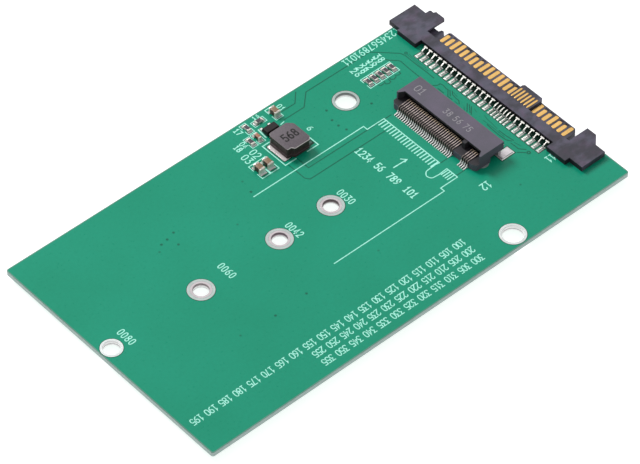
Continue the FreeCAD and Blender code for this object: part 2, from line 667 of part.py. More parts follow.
# the moulding is wider at the parting line where the leads come out
half = [(ky0 - kw + 0.1, z0), (ky0 - kw, zm - lt / 2), (ky0 - kw, zm + lt / 2), (ky0 - kw + 0.1, z0 + D("chip_high")),
        (ky0 + kw - 0.1, z0 + D("chip_high")), (ky0 + kw, zm + lt / 2), (ky0 + kw, zm - lt / 2),
        (ky0 + kw - 0.1, z0)]
sk = make_sketch(chip, "section", "YZ_Plane", [half], kx0 - kl)
pad = chip.newObject("PartDesign::Pad", "moulding")
pad.Profile = sk
pad.Length = VALUE["chip_len"]
bind(pad, "Length", "chip_len")
doc.recompute()

leads = make_body("controller_leads")


def gull(side):
    """Side profile (Y, Z) of a gull-wing lead; side is +1 or -1."""
    face = ky0 + kw * side
    end = ky0 + D("chip_span") * (side / 2.0)
    return [(face, zm - lt / 2), (face, zm + lt / 2), (face + lt * (1.6 * side), zm + lt / 2),
            (face + lt * (2.4 * side), bt + lt), (end, bt + lt), (end, bt),
            (face + lt * (1.5 * side), bt), (face + lt * (0.7 * side), zm - lt / 2)]


for k, (side_sign, step) in enumerate(((-1, -1), (-1, 0), (-1, 1), (1, -1), (1, 1))):
    at = kx0 + D("chip_pitch") * step - D("chip_lead_w") / 2
    sk = make_sketch(leads, "lead_profile_%d" % k, "YZ_Plane", [gull(side_sign)], at)
    pad = leads.newObject("PartDesign::Pad", "lead_%d" % k)
    pad.Profile = sk
    pad.Length = VALUE["chip_lead_w"]
    bind(pad, "Length", "chip_lead_w")

# ----------------------------------------------- chip capacitors, resistors
def make_box(name, x0, y0, z0, dx, dy, dz):
    box = doc.addObject("Part::Box", name)
    for prop, thing in (("Length", dx), ("Width", dy), ("Height", dz),
                        ("Placement.Base.x", x0), ("Placement.Base.y", y0),
                        ("Placement.Base.z", z0)):
        bind(box, prop, thing)
    return box


chip_nodes = []


def make_chip(name, x, y, along, length, width, height, end, side_plate):
    """A ceramic block on its end caps.  side_plate: the caps also wrap the sides."""
    x, y = D(x), D(y)
    length, width, height, end, p = D(length), D(width), D(height), D(end), D("plate")
    wrap = p if side_plate else D(0.0)

    def placed(tag, a0, a1, b0, b1, low, high):
        # a runs along the chip's length, b across it
        if along == "y":
            return make_box(name + tag, x + b0, y + a0, low, b1 - b0, a1 - a0, high - low)
        return make_box(name + tag, x + a0, y + b0, low, a1 - a0, b1 - b0, high - low)

    ha, hb = length / 2, width / 2
    block = placed("_body", -ha + p, ha - p, -hb + wrap, hb - wrap, bt + p, bt + height - p)
    block.Label = name + "_body"
    tool = placed("_room", -ha + p, ha - p, -hb + wrap, hb - wrap, bt + p, bt + height - p)
    near = placed("_near", -ha, -ha + end, -hb, hb, bt, bt + height)
    far = placed("_far", ha - end, ha, -hb, hb, bt, bt + height)
    pair = doc.addObject("Part::Compound", name + "_pair")
    pair.Links = [near, far]
    caps = doc.addObject("Part::Cut", name + "_end_caps")
    caps.Base = pair
    caps.Tool = tool
    caps.Label = name + "_end_caps"
    chip_nodes.extend([block, caps])


BIG = ("cap_len", "cap_wide", "cap_high", "cap_end", True)
SMALL = ("small_cap_len", "small_cap_wide", "small_cap_high", "small_cap_end", True)
RES = ("res_len", "res_wide", "res_high", "res_end", False)
make_chip("output_capacitor_a", -0.15, 16.27, "y", *BIG)
make_chip("output_capacitor_b", 1.85, 16.27, "y", *BIG)
make_chip("input_capacitor", 11.15, 25.0, "y", *BIG)
make_chip("feedback_capacitor", 4.87, 22.42, "y", *SMALL)
make_chip("feedback_resistor", 3.2, 22.42, "y", *RES)
make_chip("divider_resistor", 4.9, 25.4, "y", *RES)
make_chip("enable_resistor", 7.65, 25.37, "x", *RES)
for i in range(5):
    make_chip("strap_resistor_%d" % (i + 1), D("strap_x") + D("strap_pitch") * i, D("strap_y"), "y", *RES)

doc.recompute()

# ------------------------------------------------------- check and write out
NODES = [board, plug, power, side, signal, low, locks, socket, front_row, rear_row, downs,
         core, winding, sleeve, terms, chip, leads] + chip_nodes

bad = []
for obj in doc.Objects:
    if "Invalid" in obj.State or "Error" in obj.State:
        bad.append("%s: %s" % (obj.Name, obj.State))
for obj in NODES:
    shape = obj.Shape
    if shape.isNull() or not shape.isValid() or len(shape.Solids) == 0:
        bad.append("%s: shape not usable" % obj.Label)
if bad:
    raise RuntimeError("model has failed objects: " + "; ".join(bad))

os.makedirs("parts", exist_ok=True)
for obj in NODES:
    shape = obj.Shape
    print("%-28s solids %3d  volume %9.4f mm3" % (obj.Label, len(shape.Solids), shape.Volume))
    shape.exportStep(os.path.join("parts", obj.Label + ".step"))
print("nodes:", len(NODES))
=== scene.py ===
import math
import random

import bmesh
import bpy
from mathutils import Matrix, Vector


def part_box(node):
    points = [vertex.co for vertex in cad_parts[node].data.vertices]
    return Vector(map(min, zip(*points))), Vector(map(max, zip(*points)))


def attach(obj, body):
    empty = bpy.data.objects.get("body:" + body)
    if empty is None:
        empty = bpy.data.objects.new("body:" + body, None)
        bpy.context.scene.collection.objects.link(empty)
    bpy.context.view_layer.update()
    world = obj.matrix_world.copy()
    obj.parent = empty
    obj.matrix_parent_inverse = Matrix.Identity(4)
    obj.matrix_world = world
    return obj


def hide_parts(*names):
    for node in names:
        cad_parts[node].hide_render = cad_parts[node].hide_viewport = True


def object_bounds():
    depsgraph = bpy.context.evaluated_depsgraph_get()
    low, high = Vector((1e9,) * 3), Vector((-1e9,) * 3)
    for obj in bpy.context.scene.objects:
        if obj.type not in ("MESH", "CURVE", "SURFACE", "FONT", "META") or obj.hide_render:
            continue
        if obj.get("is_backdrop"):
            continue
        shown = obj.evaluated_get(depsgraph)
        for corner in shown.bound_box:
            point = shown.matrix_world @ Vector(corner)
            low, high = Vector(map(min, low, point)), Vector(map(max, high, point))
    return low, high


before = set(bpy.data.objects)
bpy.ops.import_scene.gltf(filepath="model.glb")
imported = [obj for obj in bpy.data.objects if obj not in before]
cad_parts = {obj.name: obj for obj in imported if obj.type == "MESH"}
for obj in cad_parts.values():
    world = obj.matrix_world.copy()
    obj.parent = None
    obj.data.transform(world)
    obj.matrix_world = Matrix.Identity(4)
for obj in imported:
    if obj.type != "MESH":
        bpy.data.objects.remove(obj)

cad_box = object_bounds()
random.seed(7)
MM = 0.001
TOP = 1.0          # the board's upper face, in millimetres
scene = bpy.context.scene

# ------------------------------------------------------------------ materials


def principled(name, color, rough=0.5, metal=0.0, spec=0.5, ior=1.5, coat=0.0, coat_rough=0.1):
    m = bpy.data.materials.new(name)
    m.use_nodes = True
    b = m.node_tree.nodes["Principled BSDF"]
    b.inputs["Base Color"].default_value = (*color, 1.0)
    b.inputs["Roughness"].default_value = rough
    b.inputs["Metallic"].default_value = metal
    b.inputs["Specular IOR Level"].default_value = spec
    b.inputs["IOR"].default_value = ior
    b.inputs["Coat Weight"].default_value = coat
    b.inputs["Coat Roughness"].default_value = coat_rough
    return m, m.node_tree, b


def coords(nt):
    return nt.nodes.new("ShaderNodeTexCoord").outputs["Object"]


def noise(nt, scale, detail=3.0, rough=0.55, vector=None, stretch=None):
    n = nt.nodes.new("ShaderNodeTexNoise")
    n.inputs["Scale"].default_value = scale
    n.inputs["Detail"].default_value = detail
    n.inputs["Roughness"].default_value = rough
    v = vector if vector is not None else coords(nt)
    if stretch is not None:
        mp = nt.nodes.new("ShaderNodeMapping")
        mp.inputs["Scale"].default_value = stretch
        nt.links.new(v, mp.inputs["Vector"])
        v = mp.outputs["Vector"]
    nt.links.new(v, n.inputs["Vector"])
    return n.outputs["Fac"]


def ramp(nt, fac, stops):
    r = nt.nodes.new("ShaderNodeValToRGB")
    while len(r.color_ramp.elements) < len(stops):
        r.color_ramp.elements.new(0.5)
    for e, (pos, col) in zip(r.color_ramp.elements, stops):
        e.position = pos
        e.color = (*col, 1.0) if len(col) == 3 else col
    nt.links.new(fac, r.inputs["Fac"])
    return r.outputs["Color"]


def span(nt, fac, low, high, to_low, to_high):
    r = nt.nodes.new("ShaderNodeMapRange")
    r.inputs["From Min"].default_value = low
    r.inputs["From Max"].default_value = high
    r.inputs["To Min"].default_value = to_low
    r.inputs["To Max"].default_value = to_high
    nt.links.new(fac, r.inputs["Value"])
    return r.outputs["Result"]


def mix(nt, fac, a, b, mode="MIX"):
    m = nt.nodes.new("ShaderNodeMix")
    m.data_type = "RGBA"
    m.blend_type = mode
    for key, val in ((0, fac), (6, a), (7, b)):
        if isinstance(val, (float, int)):
            m.inputs[key].default_value = val
        elif isinstance(val, tuple):
            m.inputs[key].default_value = (*val, 1.0)
        else:
            nt.links.new(val, m.inputs[key])
    return m.outputs[2]


def math_node(nt, op, a, b=None):
    m = nt.nodes.new("ShaderNodeMath")
    m.operation = op
    for i, val in enumerate((a, b)):
        if val is None:
            continue
        if isinstance(val, (float, int)):
            m.inputs[i].default_value = val
        else:
            nt.links.new(val, m.inputs[i])
    return m.outputs[0]


def bump(nt, bsdf, height, dist, strength=1.0, normal=None):
    b = nt.nodes.new("ShaderNodeBump")
    b.inputs["Distance"].default_value = dist
    b.inputs["Strength"].default_value = strength
    nt.links.new(height, b.inputs["Height"])
    if normal is not None:
        nt.links.new(normal, b.inputs["Normal"])
    nt.links.new(b.outputs["Normal"], bsdf.inputs["Normal"])
    return b.outputs["Normal"]


def rough_range(nt, bsdf, fac, low, high, frm=0.3, to=0.7):
    nt.links.new(span(nt, fac, frm, to, low, high), bsdf.inputs["Roughness"])


def weave(nt, cell):
    """Faint crossing of glass-fibre yarns under the coating."""
    sep = nt.nodes.new("ShaderNodeSeparateXYZ")
    nt.links.new(coords(nt), sep.inputs[0])
    k = 2 * math.pi / cell
    sx = math_node(nt, "SINE", math_node(nt, "MULTIPLY", sep.outputs[0], k))
    sy = math_node(nt, "SINE", math_node(nt, "MULTIPLY", sep.outputs[1], k))
    return math_node(nt, "MULTIPLY", sx, sy)


def mask_material(name, low, mid, high, rough=0.3):
    m, nt, b = principled(name, mid, rough, spec=MASK_SPEC)
    broad = noise(nt, 55, 2.0)
    fine = noise(nt, 1800, 3.0)
    col = ramp(nt, broad, [(0.3, low), (0.5, mid), (0.7, high)])
    dots = ramp(nt, fine, [(0.35, (0.97, 0.97, 0.97)), (0.65, (1.025, 1.025, 1.025))])
    nt.links.new(mix(nt, 1.0, col, dots, "MULTIPLY"), b.inputs["Base Color"])
    w = weave(nt, 0.00084)
    h = math_node(nt, "ADD", math_node(nt, "MULTIPLY", w, 0.35), noise(nt, 900, 2.0))
    bump(nt, b, h, 0.000004, 0.25)
    rough_range(nt, b, fine, rough - 0.03, rough + 0.04)
    return m


MASK_SPEC = 0.17
MASK = mask_material("solder_mask", (0.0035, 0.282, 0.163), (0.0045, 0.294, 0.173), (0.0055, 0.306, 0.184))
MASK_LINE = mask_material("solder_mask_line", (0.003, 0.128, 0.073), (0.0035, 0.14, 0.081), (0.004, 0.152, 0.089))
MASK_FINE = mask_material("solder_mask_fine", (0.003, 0.188, 0.108), (0.0035, 0.2, 0.117), (0.004, 0.212, 0.126))
# the next two are the mask darkened as painted shade, for clearances, gaps and strips that lie in shadow
MASK_SHADE = mask_material("solder_mask_painted_shade", (0.003, 0.048, 0.026), (0.0035, 0.056, 0.032), (0.004, 0.064, 0.038))
MASK_DEEP_SHADE = mask_material("solder_mask_painted_deep_shade", (0.002, 0.017, 0.01), (0.0025, 0.022, 0.013), (0.003, 0.027, 0.016))
MASK_RIM = mask_material("solder_mask_rim", (0.09, 0.24, 0.18), (0.12, 0.28, 0.215), (0.15, 0.32, 0.25))



def make_laminate():
    m, nt, b = principled("laminate_edge", (0.42, 0.44, 0.36), 0.7)
    fine = noise(nt, 900, 4.0, 0.6, stretch=(1.0, 1.0, 9.0))
    col = ramp(nt, fine, [(0.3, (0.30, 0.40, 0.375)), (0.5, (0.375, 0.48, 0.45)), (0.7, (0.45, 0.56, 0.53))])
    nt.links.new(col, b.inputs["Base Color"])
    bump(nt, b, noise(nt, 2600, 3.0, 0.6, stretch=(1.0, 1.0, 5.0)), 0.00004, 0.7)
    return m


LAMINATE = make_laminate()


def make_silk():
    m, nt, b = principled("print_ink", (0.44, 0.97, 0.81), 0.6, spec=0.15)
    n = noise(nt, 2600, 3.0)
    col = ramp(nt, n, [(0.32, (0.33, 0.84, 0.66)), (0.55, (0.44, 0.97, 0.81)), (0.8, (0.52, 0.99, 0.87))])
    nt.links.new(col, b.inputs["Base Color"])
    bump(nt, b, n, 0.000006, 0.6)
    return m


SILK = make_silk()


def make_plastic(name, color, rough, grain=5200, spec=0.5, tint=(1.12, 1.0, 1.12)):
    m, nt, b = principled(name, color, rough, spec=spec)
    broad = noise(nt, 240, 3.0)
    fine = noise(nt, grain, 3.0)
    lo = tuple(c * 0.86 for c in color)
    hi = tuple(min(1.0, c * t) for c, t in zip(color, tint))
    col = ramp(nt, broad, [(0.32, lo), (0.68, hi)])
    spots = ramp(nt, fine, [(0.3, (0.86, 0.86, 0.86)), (0.7, (1.1, 1.1, 1.1))])
    nt.links.new(mix(nt, 1.0, col, spots, "MULTIPLY"), b.inputs["Base Color"])
    bump(nt, b, fine, 0.000018, 0.8)
    rough_range(nt, b, fine, rough - 0.06, rough + 0.06)
    return m



def make_plug_plastic():
    """Moulding with the soft flow marks that show on its broad faces."""
    m, nt, b = principled("plug_plastic", (0.052, 0.049, 0.071), 0.56)
    flow = noise(nt, 210, 4.0, 0.6, stretch=(1.0, 1.5, 1.0))
    cloud = noise(nt, 520, 3.0)
    fine = noise(nt, 5200, 3.0)
    col = ramp(nt, flow, [(0.41, (0.037, 0.033, 0.050)), (0.5, (0.056, 0.051, 0.078)), (0.6, (0.084, 0.078, 0.118))])
    soft = ramp(nt, cloud, [(0.36, (0.84, 0.90, 0.90)), (0.5, (1.0, 1.0, 1.0)), (0.66, (1.24, 0.98, 1.10))])
    spots = ramp(nt, fine, [(0.3, (0.88, 0.88, 0.88)), (0.7, (1.08, 1.08, 1.08))])
    nt.links.new(mix(nt, 1.0, mix(nt, 1.0, col, soft, "MULTIPLY"), spots, "MULTIPLY"), b.inputs["Base Color"])
    bump(nt, b, fine, 0.000018, 0.8)
    rough_range(nt, b, fine, 0.5, 0.62)
    return m


PLUG_PLASTIC = make_plug_plastic()
# a darker copy of the plug plastic, painted shade for its upright faces on the tail side
PLUG_SHADE = make_plastic("plug_plastic_painted_shade", (0.021, 0.019, 0.027), 0.6, spec=0.3)
# a near-black copy of the socket plastic, painted shade for the card well and the comb under its lip
WELL_SHADE = make_plastic("socket_well_painted_shade", (0.018, 0.016, 0.020), 0.62, 4600)
SOCKET_PLASTIC = make_plastic("socket_plastic", (0.110, 0.102, 0.133), 0.6, 4600)
CHIP_PLASTIC = make_plastic("chip_moulding", (0.015, 0.011, 0.012), 0.55, 6000, spec=0.28)


def make_metal(name, color, rough, grain=3500, stretch=(1, 1, 1), dark=0.86, depth=0.000006, metal=1.0):
    m, nt, b = principled(name, color, rough, metal=metal)
    n = noise(nt, grain, 3.0, 0.6, stretch=stretch)
    broad = noise(nt, 420, 2.0)
    lo = tuple(c * dark for c in color)
    col = ramp(nt, broad, [(0.35, lo), (0.65, color)])
    nt.links.new(col, b.inputs["Base Color"])
    bump(nt, b, n, depth, 0.7)
    rough_range(nt, b, n, max(0.08, rough - 0.1), rough + 0.12)
    return m


GOLD = make_metal("gold_plate", (0.72, 0.445, 0.15), 0.36, 2600, (0.25, 2.0, 1.0), 0.9)
# darker gold, painted shade on the blades' cut sides and the lengths sunk into the seat wall
GOLD_SHADE = make_metal("gold_painted_shade", (0.38, 0.19, 0.055), 0.5, 2600, (0.25, 2.0, 1.0), 0.8)
CAP_TIN = make_metal("cap_tin", (0.80, 0.74, 0.67), 0.38, 1900, (1, 1, 1), 0.82, 0.00002, 0.35)
CHIP_SOLDER = make_metal("chip_solder", (0.84, 0.82, 0.80), 0.34, 1500, (1, 1, 1), 0.78, 0.00003, 0.4)
TIN = make_metal("tin_plate", (0.90, 0.90, 0.88), 0.3, 2400, (1.0, 1.0, 1.0), 0.84, 0.000012)
TAIL_TIN = make_metal("tail_tin", (0.80, 0.78, 0.73), 0.32, 2400, (1.0, 1.0, 1.0), 0.84, 0.000012)
# near-black metal, painted shade where each tail leaves from under the housing's back edge
TAIL_NECK_SHADE = make_metal("metal_painted_shade", (0.05, 0.045, 0.045), 0.6, 2400)
PAD_SOLDER = make_metal("pad_solder", (0.66, 0.72, 0.67), 0.36, 1500, (1, 1, 1), 0.72, 0.00004, 0.6)
SOLDER = make_metal("solder", (0.80, 0.83, 0.79), 0.34, 1500, (1, 1, 1), 0.78, 0.00003)
PAD_TIN = make_metal("pad_tin", (0.62, 0.67, 0.63), 0.42, 1700, (1, 1, 1), 0.85, 0.00002, 0.4)
RING = make_metal("ring_tin", (0.43, 0.50, 0.475), 0.44, 1500, (1, 1, 1), 0.88, 0.00002, 0.6)
RING_INNER = make_metal("ring_tin_inner", (0.54, 0.49, 0.505), 0.46, 1500, (1, 1, 1), 0.88, 0.00002, 0.55)
# a paler copy of the ring tin, used on two of the holes
RING_PALE = make_metal("ring_tin_pale", (0.70, 0.735, 0.725), 0.42, 1500, (1, 1, 1), 0.9, 0.00002, 0.55)


def make_wall(name, stops):
    """Plated hole wall; stops give its colour from the board's underside (0) to its top (1), its darker bands painted
    shade inside the hole.
    """
    m, nt, b = principled(name, stops[0][1], 0.5, spec=0.3)
    sep = nt.nodes.new("ShaderNodeSeparateXYZ")
    nt.links.new(coords(nt), sep.inputs[0])
    h = math_node(nt, "MULTIPLY", sep.outputs[2], 1000.0 / TOP)
    nt.links.new(ramp(nt, h, stops), b.inputs["Base Color"])
    bump(nt, b, noise(nt, 1500, 2.0), 0.00001, 0.5)
    return m


WALL_PALE = (0.97, 0.96, 0.96)
# each hole has its own copy, with darker bands painted as shade inside the hole
WALL_CASE = make_wall("hole_wall_case", [(0.3, WALL_PALE), (0.52, (0.22, 0.235, 0.23)), (0.9, (0.17, 0.19, 0.185))])
WALL_A = make_wall("hole_wall_a", [(0.12, WALL_PALE), (0.42, (0.20, 0.16, 0.165)), (0.62, (0.10, 0.07, 0.075))])
WALL_B = make_wall("hole_wall_b", [(0.2, WALL_PALE), (0.5, (0.34, 0.27, 0.30)), (0.7, (0.15, 0.10, 0.125))])
WALL_C = make_wall("hole_wall_c", [(0.02, (0.36, 0.35, 0.355)), (0.12, WALL_PALE), (0.45, WALL_PALE), (0.62, (0.33, 0.27, 0.285))])
WALL_D = make_wall("hole_wall_d", [(0.2, WALL_PALE), (0.28, (0.52, 0.52, 0.52)), (0.4, (0.52, 0.52, 0.52)), (0.5, WALL_PALE)])
STEEL = make_metal("tinned_sheet", (0.66, 0.62, 0.64), 0.42, 2200, (3.0, 0.6, 1.0), 0.88, 0.000006, 0.7)
PLATE_TIN = make_metal("plate_tin", (0.86, 0.78, 0.78), 0.38, 2200, (3.0, 0.6, 1.0), 0.9, 0.000006, 0.4)
# a dark copy of the plate tin, painted shade on the coil's right-hand plate and its solder
PLATE_SHADE = make_metal("plate_painted_shade", (0.09, 0.14, 0.12), 0.42, 2200, (1, 1, 1), 0.8)
BRONZE = make_metal("spring_bronze", (0.58, 0.485, 0.465), 0.4, 2600, (0.3, 2.0, 1.0), 0.85, 0.000006, 0.8)
# darker bronze, painted shade on the springs' upright run down the lip and on the tails' cut sides
BRONZE_SHADE = make_metal("spring_bronze_painted_shade", (0.235, 0.19, 0.172), 0.45, 2600, (0.3, 2.0, 1.0), 0.85, 0.000006, 0.3)
# tin tails whitened beyond plain tin as a painted highlight, up over their bend
TAIL_HIGHLIGHT = make_metal("tail_painted_highlight", (0.97, 0.965, 0.955), 0.4, 2400, (1.0, 1.0, 1.0), 0.92, 0.000012, 0.1)
TIP_GOLD = make_metal("spring_tip", (0.97, 0.76, 0.58), 0.3, 2600, (0.3, 2.0, 1.0), 0.9, 0.000006, 0.5)
COPPER = make_metal("enamelled_wire", (0.42, 0.16, 0.07), 0.35, 1800)


def make_ceramic(name, color, rough=0.42):
    m, nt, b = principled(name, color, rough, spec=0.4)
    n = noise(nt, 4200, 4.0, 0.7)
    col = ramp(nt, n, [(0.3, tuple(c * 0.8 for c in color)), (0.7, tuple(min(1, c * 1.15) for c in color))])
    nt.links.new(col, b.inputs["Base Color"])
    bump(nt, b, n, 0.00001, 0.8)
    return m


TAN = make_ceramic("tan_ceramic", (0.27, 0.168, 0.10))
# the next two are darker copies of the ceramics, painted shade for the bodies' upright sides
TAN_SHADE = make_ceramic("tan_ceramic_painted_shade", (0.085, 0.045, 0.036))
BROWN_SHADE = make_ceramic("brown_ceramic_painted_shade", (0.12, 0.045, 0.03))
BROWN = make_ceramic("brown_ceramic", (0.42, 0.18, 0.115))
ALUMINA = make_ceramic("alumina", (0.62, 0.60, 0.58), 0.5)
OVERCOAT = make_ceramic("resistor_glass", (0.062, 0.052, 0.066), 0.3)
MARK = make_ceramic("mark_ink", (0.62, 0.60, 0.60), 0.5)
LASER = make_ceramic("laser_mark", (0.29, 0.275, 0.30), 0.6)
DARK_MARK = make_ceramic("dark_mark_ink", (0.009, 0.007, 0.008), 0.6)


def make_ferrite():
    m, nt, b = principled("ferrite", (0.115, 0.098, 0.112), 0.62, spec=0.4)
    n = noise(nt, 3600, 4.0, 0.65)
    col = ramp(nt, n, [(0.28, (0.095, 0.079, 0.091)), (0.6, (0.139, 0.117, 0.134)), (0.82, (0.186, 0.162, 0.178))])
    nt.links.new(col, b.inputs["Base Color"])
    bump(nt, b, n, 0.000016, 0.8)
    return m


FERRITE = make_ferrite()
FERRITE_SIDE = make_ceramic("ferrite_side", (0.058, 0.026, 0.028), 0.55)
FERRITE_EDGE = make_ceramic("ferrite_edge", (0.145, 0.125, 0.13), 0.55)
# a pale colour painted as a glint on the top flange's near edges and notch
FERRITE_GLINT = make_ceramic("ferrite_glint", (0.60, 0.55, 0.54), 0.45)


def make_resin():
    m, nt, b = principled("coil_resin", (0.050, 0.020, 0.022), 0.55, spec=0.4)
    n = noise(nt, 1900, 4.0, 0.7)
    col = ramp(nt, n, [(0.3, (0.026, 0.011, 0.012)), (0.55, (0.056, 0.025, 0.026)), (0.8, (0.09, 0.043, 0.042))])
    nt.links.new(col, b.inputs["Base Color"])
    bump(nt, b, n, 0.00005, 0.8)
    return m


RESIN = make_resin()

# -------------------------------------------------------------- mesh helpers


class Build:
    """Collects closed shapes, in millimetres, and turns them into one piece."""

    def __init__(self):
        self.bm = bmesh.new()
        self.count = 0

    def face(self, verts, mat=0, smooth=False):
        try:
            f = self.bm.faces.new(verts)
        except ValueError:
            return None
        f.material_index = mat
        f.smooth = smooth
        return f

    def rings(self, rings, mat=0, smooth=False, cap0=True, cap1=True):
        """Joins rings of equal length (counter-clockwise seen from the last one)."""
        vs = [[self.bm.verts.new(Vector(p) * MM) for p in r] for r in rings]
        n = len(vs[0])
        for a, b in zip(vs, vs[1:]):
            for i in range(n):
                j = (i + 1) % n
                self.face((a[i], a[j], b[j], b[i]), mat, smooth)
        if cap0:
            self.face(list(reversed(vs[0])), mat)
        if cap1:
            self.face(vs[-1], mat)
        return vs

    def prism(self, loop, z0, z1, top=0.0, bottom=0.0, mat=0, smooth=False):
        loop = ccw(loop)
        rings = []
        if bottom > 0:
            rings.append([(x, y, z0) for x, y in inset(loop, bottom)])
            rings.append([(x, y, z0 + 0.29 * bottom) for x, y in inset(loop, 0.29 * bottom)])
            rings.append([(x, y, z0 + bottom) for x, y in loop])
        else:
            rings.append([(x, y, z0) for x, y in loop])
        if top > 0:
            rings.append([(x, y, z1 - top) for x, y in loop])
            rings.append([(x, y, z1 - 0.29 * top) for x, y in inset(loop, 0.29 * top)])
            rings.append([(x, y, z1) for x, y in inset(loop, top)])
        else:
            rings.append([(x, y, z1) for x, y in loop])
        self.rings(rings, mat, smooth)

    def box(self, x0, x1, y0, y1, z0, z1, top=0.0, bottom=0.0, mat=0, corner=0.0):
        loop = [(x0, y0), (x1, y0), (x1, y1), (x0, y1)]
        if corner > 0:
            loop = rounded(loop, corner, 3)
        self.prism(loop, z0, z1, top, bottom, mat)

    def ring(self, cx, cy, r_in, r_out, z0, z1, mat=0, n=64, edge=0.02):
        """A flat annulus with softened edges."""
        sect = [(r_in, z0), (r_out, z0), (r_out, z1 - edge), (r_out - edge, z1), (r_in + edge, z1), (r_in, z1 - edge)]
        cols = []
        for k in range(n):
            a = 2 * math.pi * k / n
            cols.append([self.bm.verts.new(Vector((cx + r * math.cos(a), cy + r * math.sin(a), z)) * MM) for r, z in sect])
        for k in range(n):
            a, b = cols[k], cols[(k + 1) % n]
            for i in range(len(sect)):
                j = (i + 1) % len(sect)
                self.face((a[i], b[i], b[j], a[j]), mat, False)

    def disc(self, cx, cy, r, z0, z1, mat=0, n=32, top=0.0, bottom=0.0):
        self.prism([(cx + r * math.cos(2 * math.pi * k / n), cy + r * math.sin(2 * math.pi * k / n)) for k in range(n)],
                   z0, z1, top, bottom, mat)

    def line(self, pts, w, z0, z1, mat=0, closed=False, caps=True, taper=0.0):
        """A printed or etched line of width w along pts, from z0 to z1."""
        self.count += 1
        z0, z1 = z0 - 0.0002 * (self.count % 5), z1 + 0.0002 * (self.count % 7)
        pts = [Vector((p[0], p[1])) for p in pts]
        n = len(pts)
        left, right = [], []
        for i in range(n):
            if closed:
                a, c = pts[i - 1], pts[(i + 1) % n]
            else:
                a = pts[i - 1] if i > 0 else None
                c = pts[i + 1] if i < n - 1 else None
            p = pts[i]
            d1 = (p - a).normalized() if a is not None else (c - p).normalized()
            d2 = (c - p).normalized() if c is not None else (p - a).normalized()
            n1, n2 = Vector((-d1.y, d1.x)), Vector((-d2.y, d2.x))
            m = (n1 + n2)
            m = m.normalized() if m.length > 1e-6 else n1
            k = 1.0 / max(0.35, m.dot(n1))
            left.append(p + m * (w / 2 * k))
            right.append(p - m * (w / 2 * k))
        if closed:
            outer, inner = left, right
            self._strip(outer, inner, z0, z1, mat, True)
            return
        if caps:
            loop = list(right)
            d = (pts[-1] - pts[-2]).normalized()
            for k in range(1, 4):
                a = -math.pi / 2 + math.pi * k / 4
                loop.append(pts[-1] + Vector((d.x * math.cos(a) - d.y * math.sin(a), d.y * math.cos(a) + d.x * math.sin(a))) * (w / 2))
            loop += list(reversed(left))
            d = (pts[0] - pts[1]).normalized()
            for k in range(1, 4):
                a = -math.pi / 2 + math.pi * k / 4
                loop.append(pts[0] + Vector((d.x * math.cos(a) - d.y * math.sin(a), d.y * math.cos(a) + d.x * math.sin(a))) * (w / 2))
            end_a = loop[n:n + 3]
            end_b = loop[-3:]
            self._strip(left, right, z0, z1, mat, False, end_a, end_b)
        else:
            self._strip(left, right, z0, z1, mat, False)

    def _strip(self, left, right, z0, z1, mat, closed, end_a=(), end_b=()):
        bm = self.bm
        lt = [bm.verts.new(Vector((p.x, p.y, z1)) * MM) for p in left]
        rt = [bm.verts.new(Vector((p.x, p.y, z1)) * MM) for p in right]
        lb = [bm.verts.new(Vector((p.x, p.y, z0)) * MM) for p in left]
        rb = [bm.verts.new(Vector((p.x, p.y, z0)) * MM) for p in right]
        n = len(lt)
        last = n if closed else n - 1
        for i in range(last):
            j = (i + 1) % n
            self.face((rt[i], rt[j], lt[j], lt[i]), mat)
            self.face((rb[i], lb[i], lb[j], rb[j]), mat)
            self.face((rb[i], rb[j], rt[j], rt[i]), mat)
            self.face((lb[j], lb[i], lt[i], lt[j]), mat)
        if closed:
            return
        for arc, l_t, r_t, l_b, r_b, order in ((end_a, lt[-1], rt[-1], lb[-1], rb[-1], 1),
                                               (end_b, rt[0], lt[0], rb[0], lb[0], 1)):
            at = [bm.verts.new(Vector((p.x, p.y, z1)) * MM) for p in arc]
            ab = [bm.verts.new(Vector((p.x, p.y, z0)) * MM) for p in arc]
            ring_t = [r_t] + at + [l_t]
            ring_b = [r_b] + ab + [l_b]
            for i in range(len(ring_t) - 1):
                self.face((ring_b[i], ring_b[i + 1], ring_t[i + 1], ring_t[i]), mat)
            if len(ring_t) > 2:
                self.face(ring_t, mat)
                self.face(list(reversed(ring_b)), mat)

    def strap(self, path, y, t, edge=0.03, bend=0.0, bend_n=4, side=None, across=False):
        """A sheet-metal strip: path is [(x, z, half_width[, mat])] along its middle,
        or [(y, z, ...)] when across; side is the material of its cut edges."""
        pts = [(p[0], p[1], p[2], p[3] if len(p) > 3 else 0) for p in path]
        if bend > 0:
            out = [pts[0]]
            for i in range(1, len(pts) - 1):
                a, p, c = pts[i - 1], pts[i], pts[i + 1]
                v1 = Vector((a[0] - p[0], a[1] - p[1]))
                v2 = Vector((c[0] - p[0], c[1] - p[1]))
                ang = v1.angle(v2, 0.0) if v1.length > 1e-6 and v2.length > 1e-6 else math.pi
                if ang > math.radians(172):
                    out.append(p)
                    continue
                back = min(bend / math.tan(ang / 2), v1.length * 0.48, v2.length * 0.48)
                s = Vector((p[0], p[1])) + v1.normalized() * back
                e = Vector((p[0], p[1])) + v2.normalized() * back
                for k in range(bend_n + 1):
                    u = k / bend_n
                    q = s * (1 - u) ** 2 + Vector((p[0], p[1])) * (2 * u * (1 - u)) + e * u ** 2
                    out.append((q.x, q.y, p[2], p[3]))
            out.append(pts[-1])
            pts = out
        rings = []
        n = len(pts)
        for i, (x, z, hw, mt) in enumerate(pts):
            a = Vector(pts[max(0, i - 1)][:2])
            c = Vector(pts[min(n - 1, i + 1)][:2])
            d = (c - a)
            d = d.normalized() if d.length > 1e-9 else Vector((1, 0))
            nx, nz = -d.y, d.x
            e = min(edge, t * 0.3, hw * 0.3)
            h = t / 2
